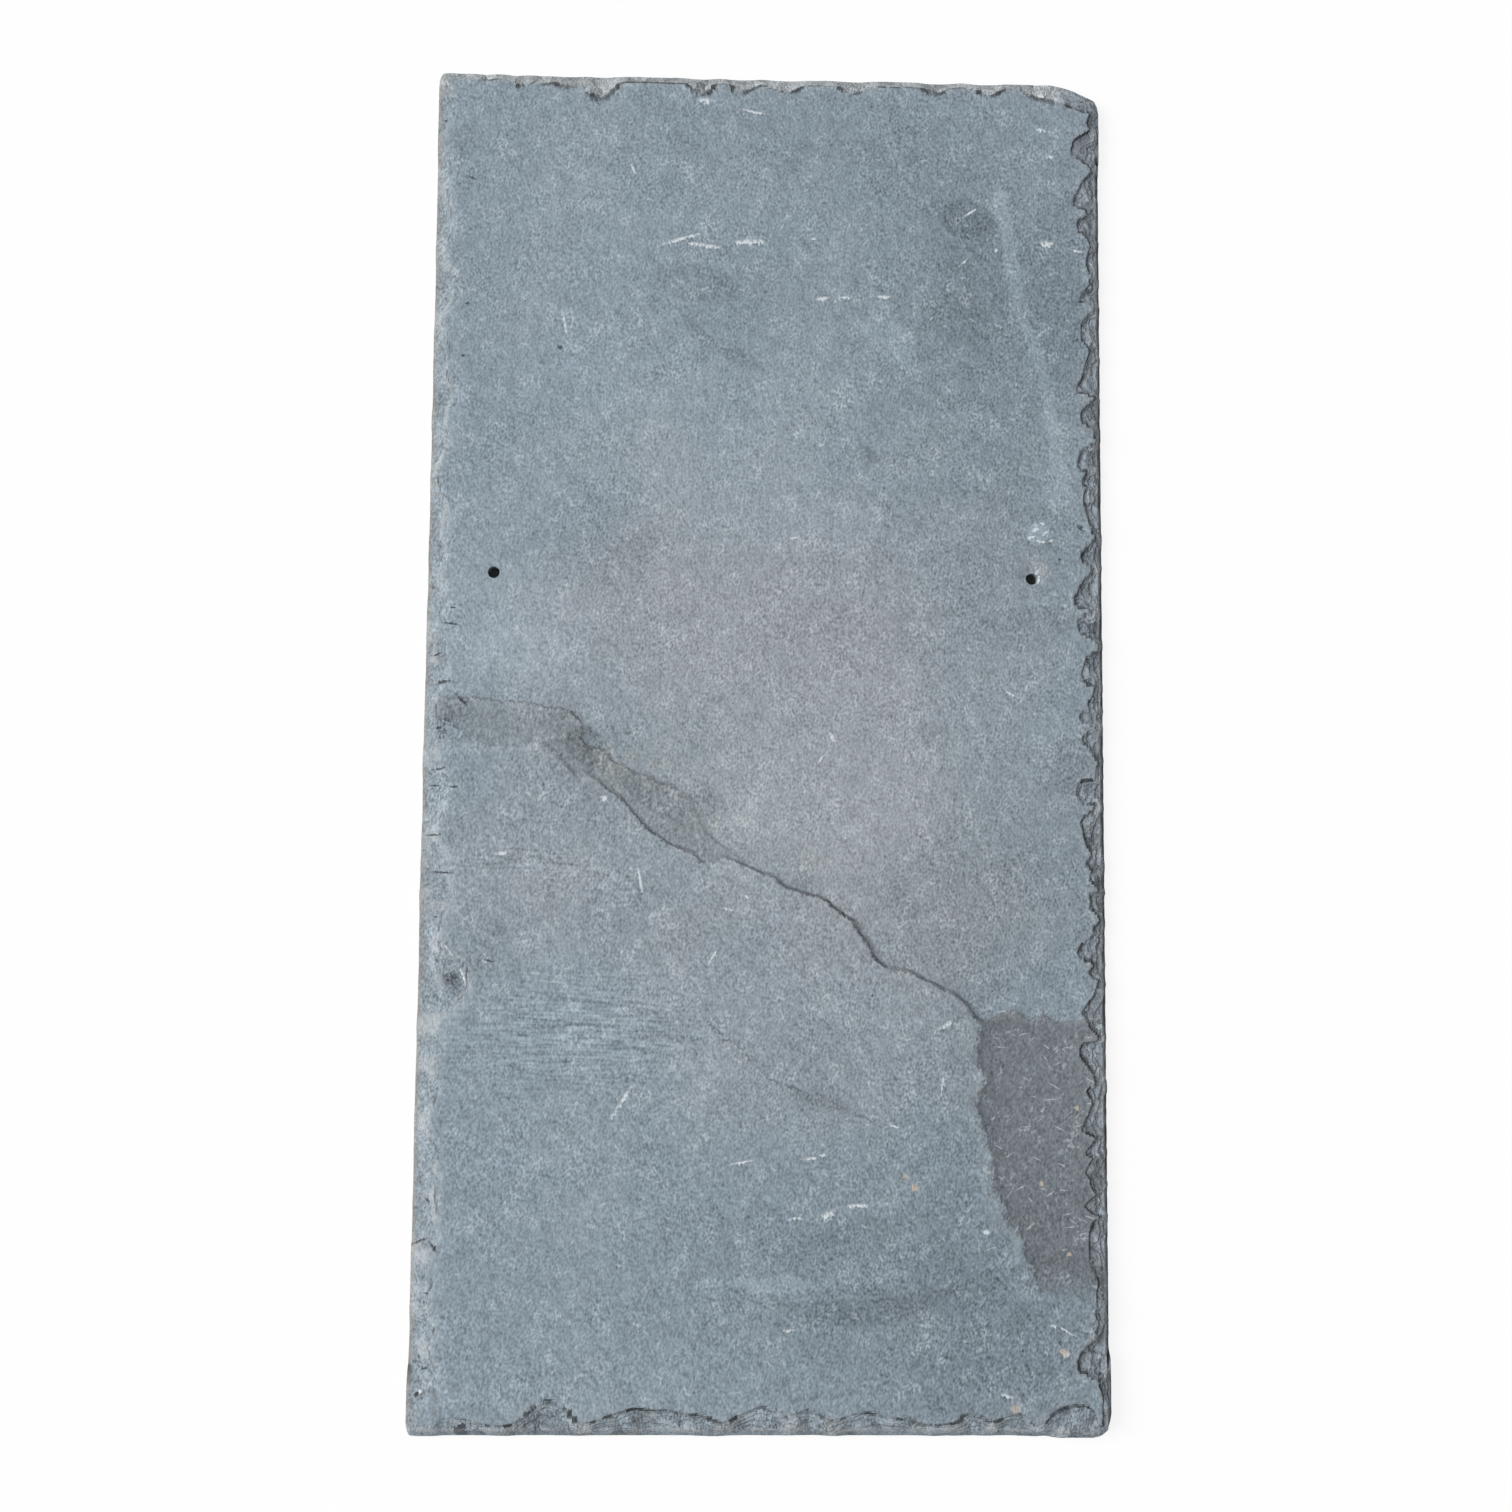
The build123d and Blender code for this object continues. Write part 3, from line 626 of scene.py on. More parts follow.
def slopes(surface):
    """How steeply a surface climbs across and along the slate: its change per cell over the cell's size."""
    slope_x = np.gradient(surface, axis=1) / np.gradient(grid_x, axis=1)
    return slope_x, np.gradient(surface, axis=0) / np.gradient(grid_y, axis=0)


softened = mean_round(height, 3, 3)
riser = ramp(np.hypot(*slopes(height)), *RISER_SLOPES)
riser = blended(riser, mean_round(riser, 2, END_SOFT_ROWS), at_end)
slope_x, slope_y = slopes(mean_round(height, 1, 1))
steep = np.maximum(np.hypot(slope_x, slope_y), 1e-6)
# How much each slope faces away from the light: it weights the painted shade along rims and beds.
away_from_light = np.clip(-(LEE_X * slope_x + LEE_Y * slope_y) / steep, 0, 1) * ramp(steep, *LEE_SLOPES)
away_from_light = blended(away_from_light, mean_round(away_from_light, 3, END_SOFT_ROWS + 1), at_end)
# The flakes' rims lie where this value passes a half. At the ends it is a wide mean, made steep again.
end_flaked = END_RIM_SHARPNESS * (mean_round(dressed, 2, END_RIM_ROWS) - 0.5) + 0.5
patch_level = carried_out(draped, LEFT_PATCH_DEPTH)
sound = np.clip((patch_level - MAIN_LEVEL) / (SKIN_LEVEL - MAIN_LEVEL), 0, 1)
crust = np.clip((patch_level - SKIN_LEVEL) / (CRUST_LEVEL - SKIN_LEVEL), 0, 1)
masks |= {
    "dressed": dressed,
    "bedded": bedded * (1 - END_BED_LESS * at_end * riser),
    "bed_height": bed_height,
    # Hollows get painted shade, and crests are rubbed pale, partly as a painted highlight.
    "hollow": np.clip((softened - height) / HOLLOW_DEPTH, 0, 1),
    "crest": np.clip((height - softened) / HOLLOW_DEPTH, 0, 1),
    "sound": mean_round(sound, 1, 3),
    "crust": mean_round(crust, 1, 3),
    "flaked": blended(mean_round(dressed, 1, 0), end_flaked, at_end),
    "patch_fade": 1 - ramp(across_share, *FADE_ACROSS) * ramp(along_share, *FADE_ALONG),
    "lip_gap": np.clip(lip_gap, -LIP_GAP_MOST, LIP_GAP_MOST),
    "lip_reach": lip_clear,
    "lower_corner": ramp(across_share, *CORNER_ACROSS) * ramp(along_share, *CORNER_ALONG),
    # Weights for painted shade: slopes facing away from the light, and steep risers, less on the lit left
    # edge.
    "away_from_light": mean_round(away_from_light, 1, 1),
    "riser": riser * (1 - RISER_LEFT_LESS * left_side),
    "right_side": right_side,
    "left_side": left_side,
    "head_side": ramp(head_gap, HEAD_FROM, HEAD_TO) * (1 - right_side),
}
print({name: round(float(mask.mean()), 4) for name, mask in masks.items()})

# %% [markdown]
# ## Scuffs, scratches, cracks and specks
# Old slate carries small marks: white scuffs, fine scratches, hairline cracks in the dressed edge and a
# few tan or dark specks. Nodes for each of them would make the material slow. Here each point keeps its
# place in the nearest mark instead: how far along it and across it, in half-lengths and half-widths. These
# change evenly over the stone, so the material finds a crisp ellipse between the points. The mark's number
# tells it where a face has all its points in one mark.

# %% Lay the small marks
MARK_MARGIN = 3.0
SCUFFS = [
    (0.367, 0.872, 14.3, 17, 1.5), (0.396, 0.868, 17.8, -9, 1.5), (0.471, 0.871, 13, 3, 2.3),
    (0.400, 0.980, 5.2, -17, 2.6), (0.474, 0.972, 11.4, -11, 1.1), (0.294, 0.926, 5, -71, 1.1),
    (0.196, 0.805, 11.5, -78, 1.1), (0.915, 0.873, 6.6, -6, 2.6), (0.910, 0.989, 4.5, 17, 1.5),
    (0.911, 0.962, 3.2, -13, 1.5), (0.923, 0.941, 3.2, 15, 1.5), (0.804, 0.897, 6.5, 34, 0.8),
    (0.793, 0.858, 5.3, 43, 0.8), (0.581, 0.828, 4.6, 6, 1.5), (0.614, 0.829, 4.6, -4, 1.1),
    (0.672, 0.830, 5.4, -3, 1.5), (0.567, 0.874, 2.3, 1, 1.1), (0.893, 0.649, 3.6, 15, 1.3),
    (0.579, 0.716, 2.8, 35, 1.1), (0.540, 0.646, 2.7, 9, 0.8), (0.119, 0.411, 5.2, 9, 1.9),
    (0.266, 0.452, 2.6, -44, 1.9), (0.320, 0.393, 10.1, -79, 1.1), (0.448, 0.372, 5.6, -11, 1.1),
    (0.474, 0.381, 1.8, -36, 1.1), (0.598, 0.498, 3.7, -66, 1.1), (0.580, 0.481, 3.7, 54, 1.1),
    (0.426, 0.338, 5.3, 57, 0.8), (0.763, 0.290, 6.1, 33, 1.5), (0.296, 0.233, 13.9, 56, 1.5),
    (0.583, 0.197, 4.4, 10, 1.1), (0.593, 0.155, 5.8, 22, 2.6), (0.636, 0.162, 8.4, 3, 1.5),
    (0.821, 0.144, 2.9, 0, 1.5), (0.931, 0.076, 10.6, -28, 0.8), (0.539, 0.075, 4.3, 0, 1.1),
    (0.849, 0.030, 4.6, -18, 1.5), (0.862, 0.531, 6, -29, 0.8), (0.019, 0.032, 1.5, 0, 1.5),
    (0.067, 0.322, 9.0, -72, 0.8), (0.921, 0.078, 3.4, -20, 1.4), (0.935, 0.059, 2.6, 0, 2.2),
    (0.903, 0.617, 3.4, 75, 0.9), (0.046, 0.341, 5.5, -53, 0.7), (0.907, 0.646, 4.2, -12, 1.2),
    (0.900, 0.655, 4.4, 30, 1.4), (0.914, 0.652, 3.4, 40, 1.2), (0.909, 0.659, 3.2, 5, 1.1),
    (0.921, 0.646, 2.6, 25, 0.9), (0.470, 0.192, 8.0, 10, 1.0), (0.571, 0.195, 8.0, 5, 1.0),
    (0.548, 0.153, 4.7, 8, 1.0), (0.758, 0.248, 7.5, 85, 0.7), (0.963, 0.868, 5.5, -10, 0.9),
    (0.842, 0.868, 1.6, 0, 1.6), (0.689, 0.218, 5.0, -15, 0.7),
]
CRACKS = [
    (0.040, 0.591, 2.6, 2, 0.8), (0.036, 0.579, 6.8, -8, 0.7), (0.020, 0.557, 4.8, 26, 0.8),
    (0.028, 0.536, 6.4, 10, 1.5), (0.023, 0.502, 2.6, 0, 0.8), (0.052, 0.917, 4.2, -25, 0.7),
    (0.026, 0.472, 5.9, 12, 0.9), (0.019, 0.460, 4.0, 0, 0.8), (0.048, 0.459, 3.6, 0, 0.8),
    (0.020, 0.424, 6.6, 4, 0.8), (0.034, 0.397, 8.4, -4, 0.7), (0.026, 0.365, 2.4, 0, 0.9),
    (0.012, 0.135, 6.4, 24, 1.3), (0.033, 0.132, 5.6, -48, 1.2), (0.022, 0.164, 2.4, -40, 0.8),
    (0.025, 0.100, 3.2, 0, 0.9), (0.024, 0.047, 4.0, 18, 0.8), (0.055, 0.523, 7.0, -47, 1.1),
    (0.046, 0.780, 2.2, 10, 0.8), (0.050, 0.820, 1.8, 0, 0.9), (0.104, 0.334, 4.0, -18, 0.7),
]
TAN_SPECKS = [
    (0.705, 0.182, 3.3, -49, 2.3), (0.717, 0.175, 3.6, -36, 2.6), (0.932, 0.060, 3.6, -36, 2.6),
    (0.901, 0.178, 1.7, 0, 1.7), (0.940, 0.128, 1.5, 0, 1.5), (0.953, 0.231, 1.5, 0, 1.5),
    (0.862, 0.020, 3.8, 0, 3.8),
]
# The four dark specks that sit in the pits are painted shade in those pinholes; the rest are dark specks.
DARK_SPECKS = [
    (0.136, 0.823, 0.9, 0, 0.9), (0.189, 0.788, 2.6, 0, 2.0), (0.872, 0.061, 1.1, 0, 1.1),
    (0.657, 0.311, 1.1, 0, 1.1), (0.014, 0.030, 1.9, 0, 1.9), (0.012, 0.961, 1.2, 0, 1.2),
    (0.934, 0.632, 1.5, 60, 1.2), (0.966, 0.656, 3.4, -40, 1.6),
]
SCRATCHES = (60, (0.825, 0.13), (0.985, 0.30), (2.0, 5.5), (-50, 60), (0.35, 0.6), 91)
FLECKS = (170, (0.05, 0.03), (0.94, 0.97), (1.2, 3.2), (-90, 90), (0.5, 0.9), 92)


def scattered(count, low_shares, high_shares, lengths, tilts, widths, seed):
    """Marks strewn over a part of the face: each value of each mark lies a scrambled share of the way
    from its lowest to its highest."""
    order = np.arange(count)
    limits = [*zip(low_shares, high_shares), lengths, tilts, widths]
    columns = [
        low + (high - low) * scramble(order, 0 * order + number, seed)
        for number, (low, high) in enumerate(limits)
    ]
    return np.stack(columns, axis=1).tolist()


def lay_marks(name, marks):
    """Keeps three numbers on the points: the nearest mark's number, 0 if none is near, and the point's
    place along and across it, turned by the mark's tilt and counted in half-lengths and half-widths."""
    number, along, across = np.zeros((3, *grid_x.shape))
    nearest = np.ones(grid_x.shape)
    for count, (across_place, along_place, length, tilt, width) in enumerate(marks, 1):
        far_along, far_across = along_and_across((across_place, along_place), tilt)
        reach = np.hypot(far_along / (length / 2 + MARK_MARGIN), far_across / (width / 2 + MARK_MARGIN))
        here = reach < nearest
        nearest = np.where(here, reach, nearest)
        number = np.where(here, count, number)
        along = np.where(here, 2 * far_along / length, along)
        across = np.where(here, 2 * far_across / width, across)
    masks[name + "_number"], masks[name + "_along"], masks[name + "_across"] = number, along, across
    print(name, "marks:", len(marks), "near", round(float((number > 0).mean()), 4), "of the points")


lay_marks("scuff", SCUFFS)
lay_marks("scratch", scattered(*SCRATCHES))
lay_marks("fleck", scattered(*FLECKS))
lay_marks("crack_and_pit_shade", CRACKS + DARK_SPECKS)
lay_marks("tan", TAN_SPECKS)

# %% [markdown]
# ## Close the surface
# The top grid is joined to a back of its own by a low wall round the outline and one down each nail
# hole. The back is nearly plain, so it takes every fifth line of the grid: its outer cells have many
# sides, which meet the fine wall point for point, and the mesh has no gap or loose edge anywhere.

# %% Points and faces of the closed slate
# The wall's bulge: its mean, its size in points along the outline, how far apart two steps lie in the
# noise, and its seed. Then each wave of the back: its share of the height, its size and its seed.
WALL_STEPS, WALL_INSET = 3, 0.30
BULGE_MEAN, BULGE_SIZE, BULGE_STEP, BULGE_SEED = 0.5, 5.0, 9.0, 61
BACK_WAVE, BACK_WAVES = 0.22, [(1.0, 60.0, 71), (0.4, 18.0, 72)]


def rim_of(numbers):
    """The outer entries of a table of point numbers, counter-clockwise from its first corner."""
    return np.concatenate([numbers[0, :-1], numbers[:-1, -1], numbers[-1, :0:-1], numbers[:0:-1, 0]])


def quads(low_left, low_right, high_right, high_left):
    """Four-sided faces from four tables of point numbers that lie in step."""
    return np.stack([low_left, low_right, high_right, high_left], axis=-1).reshape(-1, 4)


top = np.arange(grid_x.size).reshape(grid_x.shape)
keep_cell = np.ones((ROWS, COLUMNS), bool)
for column_mid, row_mid in hole_cells:
    half = HOLE_HALF_CELLS
    keep_cell[row_mid - half : row_mid + half, column_mid - half : column_mid + half] = False
faces = [quads(top[:-1, :-1], top[:-1, 1:], top[1:, 1:], top[1:, :-1])[keep_cell.ravel()]]
points = [np.stack([grid_x, grid_y, height], axis=-1).reshape(-1, 3)]
sources = [top.ravel()]


def add_points(xyz, like):
    """Appends points, each with the top point whose masks it takes after, and returns their numbers."""
    first = sum(len(block) for block in points)
    points.append(np.asarray(xyz, float).reshape(-1, 3))
    sources.append(np.asarray(like).ravel())
    return np.arange(first, first + len(points[-1]))


outline = rim_of(top)
upper, wall_top = outline, points[0][outline]
inward = -wall_top[:, :2] / np.hypot(*wall_top[:, :2].T)[:, None]
run = np.arange(len(outline), dtype=float)
for step in range(1, WALL_STEPS + 1):
    down = step / WALL_STEPS
    swell = BULGE_MEAN + noise(run, np.full(run.shape, BULGE_STEP * step), BULGE_SIZE, BULGE_SEED)
    bulge = WALL_INSET * np.sin(np.pi * down) * swell
    ring = wall_top * [1, 1, 1 - down]
    ring[:, :2] += inward * np.maximum(bulge, 0)[:, None]
    lower = add_points(ring, outline)
    faces.append(quads(upper, lower, np.roll(lower, -1), np.roll(upper, -1)))
    upper = lower
back_outline = upper

coarse = slice(BACK_STRIDE, -BACK_STRIDE, BACK_STRIDE)
back_x, back_y = grid_x[coarse, coarse], grid_y[coarse, coarse]
back_z = sum(share * noise(back_x, back_y, size, seed) for share, size, seed in BACK_WAVES)
back_z = BACK_WAVE * np.maximum(back_z, 0)
back = add_points(np.stack([back_x, back_y, back_z], axis=-1), top[coarse, coarse]).reshape(back_x.shape)
back_cell = np.ones((back.shape[0] - 1, back.shape[1] - 1), bool)
for column_mid, row_mid in hole_cells:
    half = HOLE_HALF_CELLS
    block = top[row_mid - half : row_mid + half + 1, column_mid - half : column_mid + half + 1]
    mouth = rim_of(block)
    foot = add_points(points[0][mouth] * [1, 1, 0], mouth)
    faces.append(quads(mouth, np.roll(mouth, -1), np.roll(foot, -1), foot))
    row_back, column_back = row_mid // BACK_STRIDE - 1, column_mid // BACK_STRIDE - 1
    back_cell[row_back - 1 : row_back + 1, column_back - 1 : column_back + 1] = False
    collar = rim_of(back[row_back - 1 : row_back + 2, column_back - 1 : column_back + 2])
    span = len(foot) // len(collar)
    steps = span * np.arange(len(collar))[:, None] + np.arange(span + 1)
    faces.append(np.hstack([foot[steps % len(foot)], np.roll(collar, -1)[:, None], collar[:, None]]))
faces.append(quads(back[:-1, :-1], back[1:, :-1], back[1:, 1:], back[:-1, 1:])[back_cell.ravel()])

back_rim = rim_of(back)
fine_start, coarse_start = 0, 0
for cells in (COLUMNS, ROWS, COLUMNS, ROWS):
    spans = cells // BACK_STRIDE - 2
    fine = fine_start + BACK_STRIDE * np.arange(1, spans + 1)[:, None] + np.arange(BACK_STRIDE + 1)
    near = coarse_start + np.arange(spans)
    near_ends = np.stack([near + 1, near], axis=1) % len(back_rim)
    faces.append(np.hstack([back_outline[fine % len(outline)], back_rim[near_ends]])[:, ::-1])
    corner_run = fine_start + np.arange(-BACK_STRIDE, BACK_STRIDE + 1)
    corner_face = np.append(back_outline[corner_run % len(outline)], back_rim[coarse_start])
    faces.append(corner_face[None, ::-1])
    fine_start += cells
    coarse_start += spans
print("faces by number of sides:", {block.shape[1]: len(block) for block in faces})

# %% [markdown]
# ## One mesh that carries its masks
# The tables of points and faces become one Blender mesh, in two calls and without a loop over points.
# Each point carries its masks as attributes, which the material reads by name. The wall and the back
# take after the top points above them. Edges sharper than a set angle stay crisp, as broken stone is,
# and the rest is shaded smooth.

# %% Put the slate into a mesh
SHARP_ANGLE, BACK_REACH = math.radians(55), 0.5

all_points, all_sources = np.concatenate(points), np.concatenate(sources)
used = np.unique(np.concatenate([block.ravel() for block in faces]))
renumber = np.zeros(len(all_points), int)
renumber[used] = np.arange(len(used))
mesh = bpy.data.meshes.new("riven_slate")
face_list = [face for block in faces for face in renumber[block].tolist()]
mesh.from_pydata(all_points[used] * MM, [], face_list)
mesh.validate()
below_top = (used >= top.size).astype(np.float32)
masks_used = {name: mask.ravel()[all_sources[used]] for name, mask in masks.items()}
masks_used["dressed"] = np.maximum(masks_used["dressed"], below_top)
masks_used["underside"] = below_top * (np.abs(all_points[used, 2]) < BACK_REACH)
for name, values in masks_used.items():
    mesh.attributes.new(name, "FLOAT", "POINT").data.foreach_set("value", values.astype(np.float32))
mesh.shade_smooth()
mesh.set_sharp_from_angle(angle=SHARP_ANGLE)
slate = bpy.data.objects.new("riven_slate", mesh)
bpy.context.scene.collection.objects.link(slate)
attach(slate, "root")
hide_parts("slate")
mesh.calc_loop_triangles()
print("slate mesh:", len(mesh.vertices), "points,", len(mesh.loop_triangles), "triangles")

# %% [markdown]
# ## Small helpers for shader nodes
# A node tree built call by call is hard to read, because each link takes a line. These helpers let a
# node be written as a sentence: its kind, what feeds it and its settings. Colours are written as they
# look on screen, from 0 to 255, and turned into the linear light that shaders count in.

# %% Node helpers


def paint(red, green, blue):
    """A colour as it shows on screen, 0 to 255, turned into linear light by the sRGB curve."""
    shown = np.array([red, green, blue]) / 255
    linear = np.where(shown <= 0.04045, shown / 12.92, ((shown + 0.055) / 1.055) ** 2.4)
    return (*linear.tolist(), 1.0)


def feed(tree, socket, value):
    """Gives a socket its value, by a link if the value is another node's output."""
    if isinstance(value, bpy.types.NodeSocket):
        tree.links.new(value, socket)
    else:
        socket.default_value = value


def add_node(tree, kind, feeds=None, **settings):
    """A new shader node with its own settings and with its inputs fed by name."""
    made = tree.nodes.new("ShaderNode" + kind)
    for name, value in settings.items():
        setattr(made, name, value)
    for name, value in (feeds or {}).items():
        feed(tree, made.inputs[name], value)
    return made


def reckon(tree, operation, *terms):
    """One Math node of the given operation, as its output."""
    made = add_node(tree, "Math", operation=operation)
    for socket, term in zip(made.inputs, terms):
        feed(tree, socket, term)
    return made.outputs[0]


def reckon_vector(tree, operation, first, second):
    """One Vector Math node of the given operation, as its outputs."""
    return add_node(tree, "VectorMath", {0: first, 1: second}, operation=operation).outputs


def weigh(tree, *pairs):
    """The sum of values, each times its own weight, as a chain of Multiply Add nodes."""
    total = 0.0
    for value, weight in pairs:
        total = reckon(tree, "MULTIPLY_ADD", value, weight, total)
    return total


def mix_paint(tree, amount, first, second, way="MIX"):
    """One colour Mix node, as its output."""
    made = add_node(tree, "Mix", data_type="RGBA", blend_type=way)
    for place, value in ((0, amount), (6, first), (7, second)):
        feed(tree, made.inputs[place], value)
    return made.outputs[2]


def new_group(name, inputs, outputs):
    """An empty shader node group, with its own input and output nodes' sockets."""
    group = bpy.data.node_groups.new(name, "ShaderNodeTree")
    for socket_name, kind in inputs.items():
        group.interface.new_socket(socket_name, in_out="INPUT", socket_type="NodeSocket" + kind)
    for socket_name, kind in outputs.items():
        group.interface.new_socket(socket_name, in_out="OUTPUT", socket_type="NodeSocket" + kind)
    return group, group.nodes.new("NodeGroupInput").outputs, group.nodes.new("NodeGroupOutput").inputs


def use_group(tree, group, **feeds):
    """Places a node group in a tree and feeds its named inputs."""
    return add_node(tree, "Group", feeds, node_tree=group).outputs[0]


print("slate blue-grey in linear light:", paint(143, 156, 166))

# %% [markdown]
# ## Grain, marks and chips as node groups
# Slate is pressed mud: its grain is a felt of tiny streaks, longer than they are wide, and the same
# kind of streak shows again at larger sizes as mottling and as the beds on a broken edge. One group
# makes them all, with the streak's size as its inputs. A second group turns the numbers that the points
# keep of their nearest small mark into a mask: 1 in the middle of the mark's ellipse, 0 outside it.
# A third breaks an edge into the flat chips that slate breaks into: polygons that each lean their own way.

# %% The grain group
grain_group, grain_in, grain_out = new_group(
    "stone_grain",
    {"Place": "Vector"} | dict.fromkeys(["Across", "Along", "Rise", "Turn", "Detail"], "Float"),
    {"Streak": "Float"},
)
grain_turned = add_node(
    grain_group, "VectorRotate", {"Vector": grain_in["Place"], "Angle": grain_in["Turn"]},
    rotation_type="Z_AXIS",
)
grain_size = add_node(
    grain_group, "CombineXYZ", {"X": grain_in["Across"], "Y": grain_in["Along"], "Z": grain_in["Rise"]}
)
grain_scaled = reckon_vector(grain_group, "DIVIDE", grain_turned.outputs[0], grain_size.outputs[0])[0]
grain_noise = add_node(
    grain_group, "TexNoise",
    {"Vector": grain_scaled, "Scale": 1.0, "Detail": grain_in["Detail"], "Roughness": 0.6},
)
# Noise from 0 to 1 is stretched to run from -2 to 2.
feed(grain_group, grain_out["Streak"], reckon(grain_group, "MULTIPLY_ADD", grain_noise.outputs[0], 4.0, -2.0))
print("node group:", grain_group.name)

# %% The mark group
MARK_EDGE, MARK_CORE, SAME_MARK = 1.25, 0.45, 0.002
mark_group, mark_in, mark_out = new_group(
    "small_mark", dict.fromkeys(["Along", "Across", "Number", "Stray", "Fray"], "Float"), {"Mask": "Float"}
)
mark_along = reckon(mark_group, "ADD", mark_in["Along"], mark_in["Stray"])
mark_across = reckon(mark_group, "ADD", mark_in["Across"], mark_in["Fray"])
across_squared = reckon(mark_group, "POWER", mark_across, 2.0)
mark_gap = reckon(
    mark_group, "SQRT", reckon(mark_group, "MULTIPLY_ADD", mark_along, mark_along, across_squared)
)
mark_depth = add_node(
    mark_group, "MapRange", {"Value": mark_gap, "From Min": MARK_EDGE, "From Max": MARK_CORE},
    interpolation_type="SMOOTHSTEP",
)
whole = reckon(mark_group, "ROUND", mark_in["Number"])
off_whole = reckon(mark_group, "ABSOLUTE", reckon(mark_group, "SUBTRACT", mark_in["Number"], whole))
in_one_mark = reckon(
    mark_group, "MULTIPLY",
    reckon(mark_group, "LESS_THAN", off_whole, SAME_MARK),
    reckon(mark_group, "GREATER_THAN", mark_in["Number"], 0.5),
)
feed(mark_group, mark_out["Mask"], reckon(mark_group, "MULTIPLY", mark_depth.outputs[0], in_one_mark))
print("node group:", mark_group.name)

# %% The chip group
chip_group, chip_in, chip_out = new_group(
    "chip_facets",
    {"Place": "Vector", "Across": "Float", "Along": "Float"},
    {"Tilt": "Float", "Tone": "Float", "Gap": "Float"},
)
chip_size = add_node(chip_group, "CombineXYZ", {"X": chip_in["Across"], "Y": chip_in["Along"], "Z": 1.0})
chip_scaled = reckon_vector(chip_group, "DIVIDE", chip_in["Place"], chip_size.outputs[0])[0]
chip_cell, chip_edge = (
    add_node(
        chip_group, "TexVoronoi", {"Vector": chip_scaled, "Scale": 1.0},
        voronoi_dimensions="2D", feature=feature,
    ).outputs
    for feature in ("F1", "DISTANCE_TO_EDGE")
)
chip_lean = reckon_vector(chip_group, "SUBTRACT", chip_cell["Color"], (0.5, 0.5, 0.5))[0]
chip_off = reckon_vector(chip_group, "SUBTRACT", chip_scaled, chip_cell["Position"])[0]
feed(chip_group, chip_out["Tilt"], reckon_vector(chip_group, "DOT_PRODUCT", chip_off, chip_lean)["Value"])
feed(chip_group, chip_out["Tone"], add_node(chip_group, "SeparateXYZ", {"Vector": chip_lean}).outputs["Z"])
feed(chip_group, chip_out["Gap"], chip_edge["Distance"])
print("node group:", chip_group.name)

# %% [markdown]
# ## The finish: layers of grain and chips
# Weathered slate is matt, with a felt of fine streaks on its face and flat chips on its broken edges.
# These layers come first, from pin-prick speckle to clouds as wide as a hand, because the colour, the
# painted shade and dirt, the small marks and the bump all read them: what tints the stone also raises it,
# as on a real one. An image of slate would blur close up, so each layer is a formula of the place on the
# stone.

# %% Grain and chips of the slate
slate_paint = bpy.data.materials.new("weathered_slate")
slate_paint.use_nodes = True
tree = slate_paint.node_tree
tree.nodes.clear()

object_place = add_node(tree, "TexCoord").outputs["Object"]
place = add_node(tree, "VectorMath", {"Vector": object_place, "Scale": 1 / MM}, operation="SCALE").outputs[0]


def streak(across, along, rise, turn, detail):
    """One layer of grain: streaks of the given size in millimetres, turned by an angle in degrees."""
    return use_group(
        tree, grain_group, Place=place, Across=across, Along=along, Rise=rise,
        Turn=math.radians(turn), Detail=detail,
    )


def mask(name):
    """A number kept on the slate's points, read by its name."""
    return add_node(tree, "Attribute", attribute_name=name).outputs["Fac"]


def between(value, start, end):
    """0 before start and 1 after end, with an S-curve between them."""
    feeds = {"Value": value, "From Min": start, "From Max": end}
    return add_node(tree, "MapRange", feeds, interpolation_type="SMOOTHSTEP").outputs[0]


def times(*values):
    """The product of several values."""
    product = values[0]
    for value in values[1:]:
        product = reckon(tree, "MULTIPLY", product, value)
    return product


def line_at_half(value, core, reach):
    """A thin line where a value passes a half: 1 within the core, 0 beyond the reach."""
    return between(reckon(tree, "ABSOLUTE", reckon(tree, "SUBTRACT", value, 0.5)), reach, core)


def highest(*values):
    """The largest of several values."""
    largest = values[0]
    for value in values[1:]:
        largest = reckon(tree, "MAXIMUM", largest, value)
    return largest


def blend(amount, first, second):
    """The first value at amount 0, the second at amount 1, and a straight mix between."""
    feeds = {"Factor": amount, "A": first, "B": second}
    return add_node(tree, "Mix", feeds, data_type="FLOAT").outputs[0]


def chips(across, along):
    """One layer of chips, of the given size in millimetres: their tilt, their tone and their edge's gap."""
    feeds = {"Place": chip_place, "Across": across, "Along": along}
    return add_node(tree, "Group", feeds, node_tree=chip_group).outputs


fine_weave = reckon(tree, "ABSOLUTE", streak(2.5, 3.2, 3.0, 35, 1.0))
broad_weave = reckon(tree, "ABSOLUTE", streak(3.3, 4.6, 3.0, -15, 1.0))
fibre = reckon(tree, "MULTIPLY_ADD", reckon(tree, "MINIMUM", fine_weave, broad_weave), -1.6, 0.32)
fibre = reckon(tree, "MAXIMUM", fibre, -0.22)
speckle = streak(0.8, 1.15, 0.8, 12, 0.0)
brushed = streak(9.0, 1.0, 3.0, 2, 0.0)
felt = streak(1.7, 3.4, 1.7, -8, 1.0)
mottle = streak(7.0, 9.0, 6.0, 20, 2.0)
cloud = streak(36.0, 48.0, 30.0, 25, 1.0)
drift = streak(2.4, 10.0, 6.0, -40, 1.0)
patchy = streak(11.0, 14.0, 10.0, 60, 1.0)
chip_stray = add_node(tree, "CombineXYZ", {"X": times(felt, 0.9), "Y": times(speckle, 0.5)}).outputs[0]
chip_place = reckon_vector(tree, "ADD", place, chip_stray)[0]
chip, small_chip = chips(3.4, 5.5), chips(1.8, 2.8)
print("grain and chips:", len(tree.nodes), "nodes")

